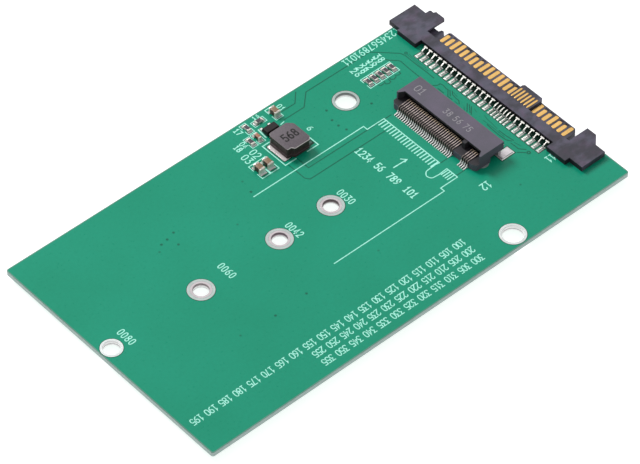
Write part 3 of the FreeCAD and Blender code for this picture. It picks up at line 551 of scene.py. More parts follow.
            prof = [(-hw + e, -h), (hw - e, -h), (hw, -h + e), (hw, h - e), (hw - e, h), (-hw + e, h), (-hw, h - e), (-hw, -h + e)]
            if across:
                rings.append([(y + u, x + nx * v, z + nz * v) for u, v in prof])
            else:
                rings.append([(x + nx * v, y + u, z + nz * v) for u, v in prof])
        vs = [[self.bm.verts.new(Vector(p) * MM) for p in r] for r in rings]
        for i in range(n - 1):
            for j in range(8):
                k = (j + 1) % 8
                mt = side if side is not None and j in (2, 6) and pts[i][3] == 0 else pts[i][3]
                self.face((vs[i][j], vs[i + 1][j], vs[i + 1][k], vs[i][k]), mt)
        self.face(vs[0], pts[0][3])
        self.face(list(reversed(vs[-1])), pts[-1][3])

    def mound(self, loop, z0, h, mat=0, steps=4, shrink=0.6):
        """A wetted solder mound: rises as its outline draws in."""
        loop = ccw(loop)
        cx = sum(p[0] for p in loop) / len(loop)
        cy = sum(p[1] for p in loop) / len(loop)
        rings = []
        for k in range(steps + 1):
            u = k / steps
            s = 1 - (1 - shrink) * u
            z = z0 + h * math.sin(u * math.pi / 2) ** 0.8
            rings.append([(cx + (x - cx) * s, cy + (y - cy) * s, z) for x, y in loop])
        rings = [[(x, y, z0 - 0.01) for x, y in loop]] + rings
        self.rings(rings, mat, True)

    def finish(self, name, materials, replaces=(), smooth_angle=None):
        bmesh.ops.recalc_face_normals(self.bm, faces=self.bm.faces[:])
        me = bpy.data.meshes.new(name)
        self.bm.to_mesh(me)
        self.bm.free()
        for m in materials:
            me.materials.append(m)
        ob = bpy.data.objects.new(name, me)
        scene.collection.objects.link(ob)
        if smooth_angle is not None:
            for p in me.polygons:
                p.use_smooth = True
            me.set_sharp_from_angle(angle=math.radians(smooth_angle))
        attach(ob, "root")
        if replaces:
            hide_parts(*replaces)
        return ob


def area2(loop):
    return sum(loop[i][0] * loop[(i + 1) % len(loop)][1] - loop[(i + 1) % len(loop)][0] * loop[i][1] for i in range(len(loop)))


def ccw(loop):
    loop = [(p[0], p[1]) for p in loop]
    return loop if area2(loop) > 0 else loop[::-1]


def inset(loop, d):
    """Moves a counter-clockwise outline inwards by d."""
    out = []
    n = len(loop)
    for i in range(n):
        a, p, c = Vector(loop[i - 1]), Vector(loop[i]), Vector(loop[(i + 1) % n])
        d1, d2 = (p - a).normalized(), (c - p).normalized()
        n1, n2 = Vector((-d1.y, d1.x)), Vector((-d2.y, d2.x))
        m = n1 + n2
        m = m.normalized() if m.length > 1e-6 else n1
        k = 1.0 / max(0.4, m.dot(n1))
        out.append(tuple(p + m * (d * k)))
    return out


def rounded(loop, r, n=3):
    """Rounds every corner of an outline; r may be one radius or one per corner."""
    out = []
    m = len(loop)
    for i in range(m):
        ri = r[i] if isinstance(r, (list, tuple)) else r
        a, p, c = Vector(loop[i - 1]), Vector(loop[i]), Vector(loop[(i + 1) % m])
        v1, v2 = a - p, c - p
        ang = v1.angle(v2, math.pi)
        if ri <= 0 or ang > math.radians(176):
            out.append(tuple(p))
            continue
        back = min(ri / math.tan(ang / 2), v1.length * 0.45, v2.length * 0.45)
        s, e = p + v1.normalized() * back, p + v2.normalized() * back
        for k in range(n + 1):
            u = k / n
            out.append(tuple(s * (1 - u) ** 2 + p * (2 * u * (1 - u)) + e * u ** 2))
    return out


def rect(x0, x1, y0, y1):
    return [(x0, y0), (x1, y0), (x1, y1), (x0, y1)]


def box_mm(node):
    lo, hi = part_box(node)
    return [v / MM for v in lo], [v / MM for v in hi]


# ------------------------------------------------ the board and its surface
def board_piece():
    """The laminate from the frame, its rims softened, with faces sorted into
    coated faces, sawn edges and plated hole walls."""
    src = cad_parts["circuit_board"].data
    bm = bmesh.new()
    bm.from_mesh(src)
    bmesh.ops.remove_doubles(bm, verts=bm.verts, dist=1e-7)
    bmesh.ops.dissolve_limit(bm, angle_limit=math.radians(0.5), verts=bm.verts, edges=bm.edges)
    bmesh.ops.recalc_face_normals(bm, faces=bm.faces[:])
    holes = []
    rims = []
    for e in bm.edges:
        if len(e.link_faces) == 2:
            a, b = e.link_faces
            za, zb = abs(a.normal.z) > 0.9, abs(b.normal.z) > 0.9
            if za != zb:
                rims.append(e)
    bmesh.ops.bevel(bm, geom=rims, offset=0.00004, offset_type="OFFSET", segments=2, profile=0.6,
                    affect="EDGES", clamp_overlap=False)
    broad = [f for f in bm.faces if abs(f.normal.z) > 0.97]
    bmesh.ops.inset_region(bm, faces=broad, thickness=0.00017, use_even_offset=True)
    kept = set(broad)
    for f in bm.faces:
        c = f.calc_center_median() / MM
        if abs(f.normal.z) > 0.97:
            f.material_index = 0 if f in kept else 3
            continue
        f.material_index = 3 if abs(f.normal.z) > 0.2 else 1
        for hx, hy, r in PLATED:
            if (c.x - hx) ** 2 + (c.y - hy) ** 2 < (r + 0.12) ** 2:
                f.material_index = 2
                f.smooth = True
    me = bpy.data.meshes.new("board_laminate")
    bm.to_mesh(me)
    bm.free()
    for m in (MASK, LAMINATE, RING, MASK_RIM):
        me.materials.append(m)
    ob = bpy.data.objects.new("board_laminate", me)
    scene.collection.objects.link(ob)
    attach(ob, "root")
    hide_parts("circuit_board")
    return ob


AXIS = 1.57
POSTS = [(3.65, AXIS, 1.5, 2.5), (-8.35, AXIS, 1.5, 2.5), (-26.35, AXIS, 1.5, 2.5), (-46.35, AXIS, 1.6, 2.05)]
CASES = [(22.9, 19.0, 2.0, 2.5), (22.9, -24.5, 2.0, 2.5)]
PLATED = [(x, y, r) for x, y, r, _ in POSTS + CASES]
board_piece()

rings = Build()
for (x, y, r, ro), wall, outer, inner in zip(POSTS + CASES, (4, 5, 6, 7, 3, 7), (0, 0, 0, 2, 0, 2), (1, 1, 1, 2, 0, 2)):
    mid = r + 0.45 * (ro - r)
    rings.ring(x, y, mid, ro, TOP - 0.012, TOP + 0.035, outer, 72, 0.025)
    rings.ring(x, y, r - 0.005, mid + 0.004, TOP - 0.01, TOP + 0.036, inner, 72, 0.02)
    rings.ring(x, y, r - 0.005, ro, -0.035, 0.01, 0, 72, 0.012)
    # the plated wall, a thin sleeve inside the hole
    rings.ring(x, y, r - 0.035, r + 0.002, 0.0, TOP, wall, 72, 0.01)
rings.finish("hole_plating", [RING, RING_INNER, RING_PALE, WALL_CASE, WALL_A, WALL_B, WALL_C, WALL_D], smooth_angle=40)

INK0, INK1 = TOP - 0.004, TOP + 0.02

# ----------------------------------------------------------- plain numerals
STROKES = {
    "0": [("c", [(0.5, 0.0), (0.16, 0.12), (0.0, 0.45), (0.0, 1.15), (0.16, 1.48), (0.5, 1.6), (0.84, 1.48), (1.0, 1.15), (1.0, 0.45), (0.84, 0.12)])],
    "1": [("o", [(0.15, 1.2), (0.5, 1.6), (0.5, 0.0)]), ("o", [(0.12, 0.0), (0.88, 0.0)])],
    "2": [("o", [(0.0, 1.25), (0.15, 1.5), (0.5, 1.6), (0.85, 1.5), (1.0, 1.2), (0.9, 0.9), (0.0, 0.0), (1.0, 0.0)])],
    "3": [("o", [(0.05, 1.6), (0.95, 1.6), (0.42, 0.98), (0.8, 0.88), (1.0, 0.6), (1.0, 0.35), (0.8, 0.07), (0.45, 0.0), (0.1, 0.08), (0.0, 0.25)])],
    "4": [("o", [(0.75, 0.0), (0.75, 1.6), (0.0, 0.5), (1.05, 0.5)])],
    "5": [("o", [(0.95, 1.6), (0.1, 1.6), (0.05, 0.9), (0.5, 1.0), (0.85, 0.88), (1.0, 0.5), (0.85, 0.12), (0.5, 0.0), (0.15, 0.08), (0.0, 0.28)])],
    "6": [("o", [(0.85, 1.6), (0.4, 1.4), (0.08, 0.9), (0.0, 0.45), (0.15, 0.1), (0.5, 0.0), (0.85, 0.1), (1.0, 0.45), (0.85, 0.8), (0.5, 0.92), (0.12, 0.78)])],
    "7": [("o", [(0.0, 1.6), (1.0, 1.6), (0.35, 0.0)])],
    "8": [("c", [(0.5, 0.85), (0.15, 0.98), (0.06, 1.25), (0.2, 1.52), (0.5, 1.6), (0.8, 1.52), (0.94, 1.25), (0.85, 0.98)]),
          ("c", [(0.5, 0.84), (0.12, 0.7), (0.0, 0.42), (0.14, 0.1), (0.5, 0.0), (0.86, 0.1), (1.0, 0.42), (0.88, 0.7)])],
    "9": [("o", [(0.15, 0.0), (0.6, 0.2), (0.92, 0.7), (1.0, 1.15), (0.85, 1.5), (0.5, 1.6), (0.15, 1.5), (0.0, 1.15), (0.15, 0.8), (0.5, 0.68), (0.88, 0.82)])],
}


def numerals(build, text, x, y, height, turn=0.0, wide=0.62, pitch=None, stroke=0.16, z0=INK0, z1=INK1, mat=0):
    """Plain numbers in a stroked face.  (x, y) is the middle of the line of text,
    turn its direction in degrees."""
    k = height / 1.6
    wk = k * wide * 1.6 / 1.0 * 0.75
    pitch = pitch if pitch is not None else wk * 1.42
    total = pitch * (len(text) - 1) + wk
    ca, sa = math.cos(math.radians(turn)), math.sin(math.radians(turn))
    for i, ch in enumerate(text):
        if ch == " ":
            continue
        ox = -total / 2 + pitch * i
        for kind, pts in STROKES[ch]:
            out = []
            for px, py in pts:
                lx, ly = ox + px * wk, (py - 0.8) * k
                out.append((x + lx * ca - ly * sa, y + lx * sa + ly * ca))
            build.line(out, stroke, z0, z1, mat, closed=(kind == "c"))


# ----------------------------------------------------------- printed drawing
ink = Build()
W = 0.2
# module outline: two long sides, a stepped end with teeth and a key notch
ink.line([(-5.1, 12.1), (20.95, 12.1), (20.95, 11.12), (25.0, 11.12)], 0.2, INK0, INK1)
ink.line([(-5.1, -9.05), (20.95, -9.05), (20.95, -8.1), (25.0, -8.1)], 0.2, INK0, INK1)
ink.line([(25.0, 11.12), (25.0, -3.45)], 0.2, INK0, INK1)
ink.line([(25.0, -8.1), (25.0, -5.35)], 0.2, INK0, INK1)
notch = rounded([(25.0, -3.45), (24.2, -3.3), (21.75, -3.42), (20.95, -4.3), (21.35, -5.35), (23.0, -5.5), (25.0, -5.35)],
                [0, 0.4, 0.9, 0.9, 0.9, 0.4, 0], 4)
ink.line(notch, 0.2, INK0, INK1)
y = 10.55
while y > -3.3:
    ink.line([(23.15, y), (24.95, y)], 0.26, INK0, INK1, caps=False)
    y -= 0.72
for y in (-5.75, -6.3, -6.85, -7.4):
    ink.line([(23.15, y), (24.95, y)], 0.22, INK0, INK1, caps=False)
# insertion arrow
ink.line([(18.1, 1.05), (21.2, 0.95)], 0.24, INK0, INK1)
ink.line([(20.45, 1.8), (21.22, 0.95), (20.5, 0.74)], 0.2, INK0, INK1)
# post hole numbers
for x, y, label in ((7.05, 1.35, "0030"), (-4.97, 1.47, "0042"), (-20.1, 2.0, "0060"), (-42.85, 1.8, "0080")):
    numerals(ink, label, x, y, 1.45, -90, wide=0.52, pitch=1.0, stroke=0.195)
# rows of plain numbers


def number_row(x_right, x_left, y, height, values, stroke, gap=0.6):
    """Numbers along -X, read from the far side of the board."""
    x = x_right
    wk = height / 1.6 * 0.62 * 1.6 * 0.75
    pitch = wk * 1.3
    for v in values:
        s = str(v)
        width = pitch * (len(s) - 1) + wk
        if x - width < x_left:
            break
        numerals(ink, s, x - width / 2, y, height, 180, pitch=pitch, stroke=stroke)
        x -= width + gap


number_row(15.3, -47.3, -20.05, 1.35, range(100, 400, 5), 0.18, 0.9)
number_row(15.3, -22.3, -22.4, 1.35, range(200, 400, 5), 0.18, 0.9)
number_row(15.3, -22.3, -24.75, 1.35, range(300, 500, 5), 0.18, 0.9)
number_row(42.3, 28.0, 26.15, 1.45, (1, 2, 3, 4, 5, 6, 7, 8, 9, 10, 11), 0.2, gap=0.42)
# numbers beside the parts
x = 16.3
for label, y in (("1234", 6.75), ("56", 2.75), ("789", -0.95), ("101", -5.35)):
    numerals(ink, label, x, y, 1.5, -90, wide=0.54, pitch=0.98, stroke=0.24)
numerals(ink, "03", 0.0, 19.75, 1.5, -90, pitch=1.15, stroke=0.2)
numerals(ink, "02", 1.95, 19.75, 1.5, -90, pitch=1.15, stroke=0.2)
numerals(ink, "6", 13.45, 18.1, 1.1, -90, wide=0.75, stroke=0.19)
numerals(ink, "01", 13.0, 25.45, 1.1, -90, pitch=0.85, stroke=0.17)
numerals(ink, "16", 8.0, 26.62, 0.78, 0, pitch=0.8, stroke=0.17)
numerals(ink, "17", 3.2, 25.9, 1.15, -90, pitch=0.8, stroke=0.2)
numerals(ink, "18", 0.5, 22.75, 1.15, -90, pitch=0.8, stroke=0.2)
numerals(ink, "04", 1.8, 22.75, 1.1, -90, pitch=0.8, stroke=0.17)
numerals(ink, "12", 27.3, -12.95, 1.55, 180, stroke=0.22)
numerals(ink, "11", 40.5, -15.65, 1.4, 180, stroke=0.22)
for i in range(5):
    cx = 29.05 + 1.425 * i
    numerals(ink, ("26", "28", "32", "36", "38")[i], cx, 23.05, 1.25, -90, wide=0.72, pitch=1.15, stroke=0.2)


def corner_frame(x0, x1, y0, y1, arm=0.55, w=0.17, along="y"):
    """Two C-shaped brackets round a chip's pads."""
    if along == "y":
        m0, m1 = y0 + (y1 - y0) * 0.36, y1 - (y1 - y0) * 0.36
        ink.line([(x0, m0), (x0, y0), (x1, y0), (x1, m0)], w, INK0, INK1)
        ink.line([(x0, m1), (x0, y1), (x1, y1), (x1, m1)], w, INK0, INK1)
    else:
        m0, m1 = x0 + (x1 - x0) * 0.36, x1 - (x1 - x0) * 0.36
        ink.line([(m0, y0), (x0, y0), (x0, y1), (m0, y1)], w, INK0, INK1)
        ink.line([(m1, y0), (x1, y0), (x1, y1), (m1, y1)], w, INK0, INK1)


corner_frame(-1.05, 0.8, 14.4, 18.15)
corner_frame(0.98, 2.85, 14.4, 18.15)
corner_frame(10.3, 12.0, 23.6, 26.75)
corner_frame(2.55, 3.85, 21.1, 23.75, w=0.15)
corner_frame(4.18, 5.58, 21.1, 23.75, w=0.15)
corner_frame(4.18, 5.58, 24.08, 26.75, w=0.15)
corner_frame(6.28, 9.05, 24.7, 26.02, w=0.15, along="x")
# strap resistor frames share their long sides
x0 = 28.35
for i in range(6):
    xx = x0 + 1.42 * i
    ink.line([(xx, 18.35), (xx, 19.25)], 0.17, INK0, INK1)
    ink.line([(xx, 20.2), (xx, 21.12)], 0.17, INK0, INK1)
ink.line([(x0, 18.35), (x0 + 7.1, 18.35)], 0.17, INK0, INK1)
ink.line([(x0, 21.12), (x0 + 7.1, 21.12)], 0.17, INK0, INK1)
# coil outline and controller marks
ink.line([(5.75, 20.32), (4.12, 20.32), (4.12, 14.12), (6.65, 14.12)], 0.22, INK0, INK1)
ink.line([(9.3, 14.12), (11.9, 14.12), (11.9, 16.6)], 0.22, INK0, INK1)
ink.line([(10.2, 22.25), (11.05, 22.42)], 0.2, INK0, INK1)
ink.line([(6.06, 21.6), (6.3, 23.9)], 0.3, INK0, INK1)
ink.finish("board_print", [SILK])

# ------------------------------------------------------------ etched routes
route = Build()
R0, R1 = TOP - 0.004, TOP + 0.012
for pts in (
    [(4.6, 14.0), (4.6, 9.6), (5.2, 8.75), (23.0, 8.75)],
    [(6.8, 14.0), (6.8, 11.0), (26.6, 11.0)],
    [(12.4, 24.55), (15.6, 24.55), (17.6, 26.6)],
    [(11.4, 22.75), (16.2, 22.75), (19.0, 25.4), (32.2, 25.4), (34.4, 25.4), (35.68, 24.15), (36.85, 23.01), (38.45, 21.4),
     (38.73, 20.49), (38.69, 18.57), (38.67, 16.94), (38.74, 14.48), (38.68, 12.7)],
    [(35.34, 22.03), (35.82, 21.34), (36.87, 20.34), (37.11, 19.79), (37.0, 18.07), (36.95, 16.41), (36.96, 14.69)],
    [(25.2, -3.6), (26.8, -3.6)],
    [(24.9, -7.7), (27.0, -7.7)],
    [(33.91, 17.92), (34.42, 17.54), (35.02, 17.6), (35.08, 18.26)],
    [(32.7, 18.21), (32.65, 17.61), (33.19, 17.27), (33.83, 17.56)],
    [(31.34, 18.06), (31.18, 17.35), (31.77, 17.06), (32.26, 17.24), (32.29, 17.89)],
    [(29.99, 18.05), (30.24, 17.66), (30.99, 17.68)],
):
    route.line(pts, 0.2, R0, R1)
# lines between the socket and the drive plug, with their length-matching folds
fine = Build()
for pts in (
    [(37.28, 11.45), (37.82, 10.97), (38.53, 10.93), (38.72, 10.35), (38.52, 9.34), (38.62, 8.92), (37.38, 7.65), (37.46, 6.63)],
    [(37.44, 10.3), (37.41, 8.81)],
    [(38.72, 8.49), (37.79, 7.45)],
    [(38.94, 8.13), (38.36, 7.45), (38.16, 6.45), (38.17, 5.6), (37.62, 4.9)],
    [(38.8, 4.03), (37.38, 2.6)],
    [(38.9, 3.61), (37.61, 2.06)],
    [(38.85, 2.98), (37.44, 1.54)],
    [(37.09, 0.95), (37.09, -0.32)],
    [(37.83, -2.14), (37.69, -3.84), (37.64, -5.45), (37.75, -7.14), (38.28, -8.01)],
    [(38.41, -4.64), (38.44, -6.16), (38.64, -8.15)],
    [(37.84, -8.34), (37.9, -9.31), (37.88, -10.23), (38.78, -11.22)],
    [(37.1, -10.67), (38.2, -11.75)],
):
    fine.line(pts, 0.19, R0, R1, 1)
for pts in (
    [(39.15, 20.4), (39.09, 18.73), (38.98, 17.28), (38.94, 16.29), (39.16, 14.8)],
    [(39.51, 20.25), (39.38, 18.78), (39.33, 17.11), (39.38, 15.57)],
    [(36.7, 14.62), (35.93, 14.51), (33.98, 14.53), (32.48, 14.5)],
    [(38.84, 7.71), (38.62, 6.55)],
    [(37.75, 3.78), (36.96, 2.81)],
    [(38.82, 2.17), (38.57, 1.38)],
    [(39.05, -0.21), (38.78, -1.14), (38.71, -2.25), (38.58, -3.2), (38.49, -4.04)],
    [(38.05, -0.9), (38.1, -3.0), (38.05, -6.4)],
    [(38.4, -8.53), (38.7, -10.02)],
    [(37.5, 5.9), (37.45, 5.1)],
):
    fine.line(pts, 0.17, R0, R1)
fine.ring(39.27, 20.8, 0.14, 0.34, R0, R1 + 0.002, 1, 24, 0.003)
fine.ring(38.6, -12.1, 0.16, 0.42, R0, R1 + 0.002, 1, 24, 0.003)
fine.finish("board_fine_routes", [MASK_FINE, MASK_LINE])
for x, y in ((25.89, 15.43), (18.65, 19.46), (17.77, 17.0), (17.75, 15.25), (18.17, 13.58), (-21.2, 14.93), (-23.1, 14.4),
             (-24.63, 14.12), (-22.39, 12.2), (-13.32, -11.06), (-20.65, -11.32), (-4.68, 13.34)):
    route.disc(x, y, 0.25, R0, R1 + 0.004, 0, 20, 0.008)
for x, y in ((-4.16, 16.21), (32.1, -16.78), (-26.0, 13.03), (-28.11, -10.78), (2.7, -11.85), (-11.6, 8.99)):
    route.disc(x, y, 0.22, R0, R1 + 0.004, 1, 20, 0.008)
U0, U1 = -0.012, 0.004
for k, yy in enumerate((-11.6, -9.4, -7.2, -4.6, -2.2, 0.4, 3.1, 5.6, 8.2, 10.6, 13.0)):
    for off in (0.0, 0.38):
        bend_x = 36.4 + 0.35 * (k % 3)
        route.line([(30.9, yy * 0.82 + off), (33.6, yy * 0.82 + off), (bend_x, yy + off), (40.3, yy + off)], 0.16, U0, U1)
    route.disc(30.7, yy * 0.82 + 0.19, 0.3, -0.016, U1, 1, 20)
    route.disc(40.6, yy + 0.19, 0.3, -0.016, U1, 1, 20)
for pts in ([(11.2, 15.5), (16.0, 15.5), (21.0, 12.2), (28.6, 12.2)], [(11.2, 18.5), (16.0, 18.5), (20.4, 22.9), (40.8, 22.9)],
            [(5.0, 15.2), (-2.0, 15.2), (-2.0, 24.2), (11.0, 24.2)], [(28.8, 17.6), (33.5, 15.4), (39.9, 15.4)]):
    route.line(pts, 0.3, U0, U1)
    for px, py in (pts[0], pts[-1]):
        route.disc(px, py, 0.36, -0.016, U1, 1, 20)
route.finish("board_routes", [MASK_LINE, MASK_FINE])

# --------------------------------------------------------------- solder pads
FIRST, PITCH, SIDE_PITCH, GAP = 18.82, 1.27, 0.8, 1.175
POWER = [FIRST - PITCH * i for i in range(15)]
SIDE0 = POWER[-1] - GAP
SIDE = [SIDE0 - SIDE_PITCH * i for i in range(6)]
SIGNAL0 = SIDE[-1] - GAP
SIGNAL = [SIGNAL0 - PITCH * i for i in range(7)]

pads = Build()
# painted shade laid on the mask: dark clearances round pads and hole rings, and dark strips between and under parts
shade_paint = Build()
P0, P1 = TOP - 0.004, TOP + 0.035


def pad(x0, x1, y0, y1, r=0.06, gap=0.11):
    pads.prism(rounded(rect(x0, x1, y0, y1), r, 3), P0, P1, 0.012)
    # the mask clearance round the pad, painted dark as shade
    g = gap
    shade_paint.prism(rounded(rect(x0 - g, x1 + g, y0 - g, y1 + g), r, 2), TOP - 0.004, TOP + 0.006, 0.002)


for y in POWER + SIGNAL:
    pad(39.85, 41.62, y - 0.42, y + 0.42, gap=0.15)
for y in SIDE:
    pad(39.85, 41.62, y - 0.26, y + 0.26, 0.05)
FRONT = [AXIS + 8.95 - 0.5 * i for i in range(29)] + [AXIS + 8.95 - 0.5 * (33 + i) for i in range(4)]
REAR = [AXIS + 9.2 - 0.5 * i for i in range(29)] + [AXIS + 9.2 - 0.5 * (33 + i) for i in range(5)]
for y in FRONT:
    pad(26.9, 28.15, y - 0.105, y + 0.105, 0.04, 0.03)
# a painted shadow on the mask along the front of the socket's lip
for ya, yb in ((FRONT[0], FRONT[28]), (FRONT[29], FRONT[-1])):
    shade_paint.box(27.72, 28.4, yb - 0.1, ya + 0.1, TOP - 0.003, TOP + 0.009, mat=1)
for y in REAR:
    pad(35.2, 36.7, y - 0.12, y + 0.12, 0.04, 0.04)
for y0, y1 in ((-10.45, -8.5), (11.65, 13.6)):
    pad(33.65, 36.75, y0, y1, 0.05, 0.16)
for x, y, along, half, wide in (
        (-0.15, 16.27, "y", 1.36, 0.7), (1.85, 16.27, "y", 1.36, 0.7), (11.15, 25.0, "y", 1.2, 0.7),
        (4.87, 22.42, "y", 1.12, 0.48), (3.2, 22.42, "y", 1.12, 0.46), (4.9, 25.4, "y", 1.12, 0.46),
        (7.65, 25.37, "x", 1.12, 0.46)) + tuple((29.05 + 1.425 * i, 19.72, "y", 1.12, 0.46) for i in range(5)):
    inner = half * 0.46
    if along == "y":
        pad(x - wide, x + wide, y - half, y - inner)
        pad(x - wide, x + wide, y + inner, y + half)
    else:
        pad(x - half, x - inner, y - wide, y + wide)
        pad(x + inner, x + half, y - wide, y + wide)
for dx, sy in ((-0.95, -1), (0, -1), (0.95, -1), (-0.95, 1), (0.95, 1)):
    cx, cy = 7.75 + dx, 22.2 + sy * 1.32
    pad(cx - 0.3, cx + 0.3, cy - 0.42, cy + 0.42, 0.08)
pad(4.58, 6.2, 14.9, 19.75, 0.3, 0.16)
# a painted shadow beside the coil's right-hand plate
shade_paint.prism(rect(10.2, 11.7, 14.8, 19.85), TOP - 0.004, TOP + 0.006, 0.002)
# painted shade between the strap resistors
for i in range(4):
    shade_paint.prism(rect(29.55 + 1.425 * i, 29.97 + 1.425 * i, 19.1, 20.45), TOP - 0.004, TOP + 0.008, 0.002)
pads.finish("solder_pads", [PAD_TIN])
# unlit strips of mask between the tails and under the two connectors
for y0, y1 in ((SIGNAL[-1] - 0.7, SIGNAL[0] + 0.55), (SIDE[-1] - 0.5, SIDE[0] + 0.5), (POWER[-1] - 0.55, POWER[0] + 0.7)):
    shade_paint.prism(rect(41.62, 43.4, y0, y1), TOP - 0.004, TOP + 0.008, 0.002, 0, 1)
shade_paint.prism(rect(27.05, 28.1, FRONT[28] - 0.15, FRONT[0] + 0.15), TOP - 0.004, TOP + 0.008, 0.002)
shade_paint.prism(rect(27.05, 28.1, FRONT[-1] - 0.15, FRONT[29] + 0.15), TOP - 0.004, TOP + 0.008, 0.002)
# painted shade round each hole's ring
for x, y, r, ro in POSTS + CASES:
    shade_paint.ring(x, y, ro - 0.1, ro + 0.09, TOP - 0.004, TOP + 0.008, 0, 72, 0.002)
shade_paint.finish("painted_mask_shade", [MASK_SHADE, MASK_DEEP_SHADE])

# ------------------------------------------------ parts taken from the frame


def soften(node, name, materials, width, segments=2, least=0.6, paint=None, smooth=None, keep=None):
    """A copy of a CAD solid whose longer outside edges are eased."""
    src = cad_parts[node].data
    bm = bmesh.new()
    bm.from_mesh(src)
    bmesh.ops.remove_doubles(bm, verts=bm.verts, dist=2e-7)
    bmesh.ops.dissolve_limit(bm, angle_limit=math.radians(1.0), verts=bm.verts, edges=bm.edges)
    bmesh.ops.recalc_face_normals(bm, faces=bm.faces[:])
    picked = []
    for e in bm.edges:
        if len(e.link_faces) != 2 or not e.is_convex:
            continue
        if e.calc_length() < least * MM:
            continue
        if e.calc_face_angle(0.0) < math.radians(28):
            continue
        if keep is not None and not keep([v.co / MM for v in e.verts]):
            continue
        picked.append(e)
    if picked and width > 0:
        bmesh.ops.bevel(bm, geom=picked, offset=width * MM, offset_type="OFFSET", segments=segments, profile=0.6,
                        affect="EDGES", clamp_overlap=True)
    for f in bm.faces:
        f.smooth = False
        if paint is not None:
            f.material_index = paint(f.calc_center_median() / MM, f.normal)
    me = bpy.data.meshes.new(name)
    bm.to_mesh(me)
    bm.free()
    for m in materials:
        me.materials.append(m)
    ob = bpy.data.objects.new(name, me)
    scene.collection.objects.link(ob)
    if smooth is not None:
        for p in me.polygons:
            p.use_smooth = True
        me.set_sharp_from_angle(angle=math.radians(smooth))
    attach(ob, "root")
    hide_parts(node)
    return ob


# -------------------------------------------------------------- drive plug
# painted shade: upright faces of the housing on the tail side take the darker plastic
def plug_side(c, n):
    return 1 if abs(n.z) < 0.3 and c.x < 43.6 else 0


soften("drive_plug_housing", "plug_housing", [PLUG_PLASTIC, PLUG_SHADE], 0.09, 2, 0.75, plug_side)

t = 0.2


def contact(build, tip, y, half, key=False, stem=0.145):
    """Blade with two rounded ends, riser in the seat wall, T-shaped head, stem, and foot."""
    zb = 1.52 if key else 0.9
    inner = 45.8 if key else 46.04
    bar = stem if key else 0.47
    # path materials: 0 gold blade, 2 painted shade inside the seat wall, 3 painted shade where the tail leaves the
    # housing, 1 tin head, stem and foot
    path = [(tip, zb - 0.03, half * 0.45, 0), (tip - 0.05, zb - 0.012, half * 0.72, 0), (tip - 0.14, zb, half * 0.9, 0),
            (tip - 0.3, zb, half, 0), (inner + 0.3, zb, half, 0), (inner + 0.14, zb, half * 0.9, 0),
            (inner + 0.05, zb - 0.012, half * 0.72, 0), (inner, zb - 0.03, half * 0.45, 0), (inner - 0.2, zb - 0.08, half * 0.4, 2),
            (44.8, zb - 0.08, half * 0.4, 2), (44.8, 1.85, half * 0.4, 2), (42.9, 1.85, half * 0.4, 3), (42.56, 1.85, 0.13, 3),
            (42.47, 1.85, bar, 1), (42.24, 1.85, bar, 1), (42.19, 1.85, stem, 1), (41.98, 1.83, stem, 1), (41.42, 1.5, stem, 1),
            (41.12, 1.14, stem, 1), (40.2, 1.13, stem, 1)]
    build.strap(path, y, t, edge=0.05, bend=0.12, bend_n=3, side=2)


def plug_row(name, node, ys, longs, half, key=False, stem=0.145):
    b = Build()
    for i, y in enumerate(ys):
        tip = (48.45 if key else (48.76 if i in longs else 48.3))
        contact(b, tip, y, half, key, stem)
    return b.finish(name, [GOLD, TAIL_TIN, GOLD_SHADE, TAIL_NECK_SHADE], (node,), smooth_angle=35)


plug_row("power_blades", "power_contacts", POWER, (2, 3, 5, 8, 9, 10, 11, 12), 0.425)
plug_row("sideband_blades", "sideband_contacts", SIDE, (), 0.225, True, 0.13)
plug_row("signal_blades", "signal_contacts", SIGNAL, (0, 3, 6), 0.425)

# plastic closing the inner ends of the blade grooves
shelf = Build()
for ys, half, zb, inner in ((POWER + SIGNAL, 0.425, 0.9, 46.04), (SIDE, 0.225, 1.52, 45.8)):
    for y in ys:
        shelf.box(45.2, inner - 0.02, y - half - 0.01, y + half + 0.01, zb - 0.3, zb + 0.041)
shelf.finish("plug_groove_ends", [PLUG_PLASTIC])

low = Build()
LOWER0 = (POWER[0] + SIGNAL[-1]) / 2 + SIDE_PITCH * 19.5
for i in range(40):
    y = LOWER0 - SIDE_PITCH * i
    low.strap([(48.3, -0.17, 0.11, 0), (48.22, -0.19, 0.17, 0), (48.1, -0.2, 0.2, 0), (44.3, -0.2, 0.2, 0),
               (44.3, 1.1, 0.2, 1), (43.05, 1.1, 0.2, 1)], y, t, edge=0.03, bend=0.1, bend_n=3, side=2)
low.finish("lower_blades", [GOLD, TIN, GOLD_SHADE], ("lower_contacts",), smooth_angle=35)

feet = Build()
for y in POWER + SIGNAL:
    feet.mound(rounded(rect(39.92, 41.5, y - 0.38, y + 0.38), 0.06, 3), TOP + 0.03, 0.085, 0, 4, 0.55)
for y in SIDE:
    feet.mound(rounded(rect(39.92, 41.5, y - 0.23, y + 0.23), 0.05, 3), TOP + 0.03, 0.08, 0, 4, 0.55)
feet.finish("plug_solder", [PAD_SOLDER])

soften("plug_board_locks", "board_locks", [STEEL], 0.04, 2, 0.2)

# -------------------------------------------------------------- card socket
# painted shade: the card well and the comb under the lip take the near-black plastic
def in_well(c, n):
    comb = 28.0 < c.x <= 29.3 and c.z < 2.45 and (-3.75 < c.y < 10.8 or -7.75 < c.y < -5.7)
    return 1 if comb or (29.3 < c.x < 34.9 and -9.0 < c.y < 12.1 and 1.2 < c.z < 3.95) else 0


soften("card_socket_housing", "socket_housing", [SOCKET_PLASTIC, WELL_SHADE], 0.1, 2, 1.05, in_well)

front = Build()
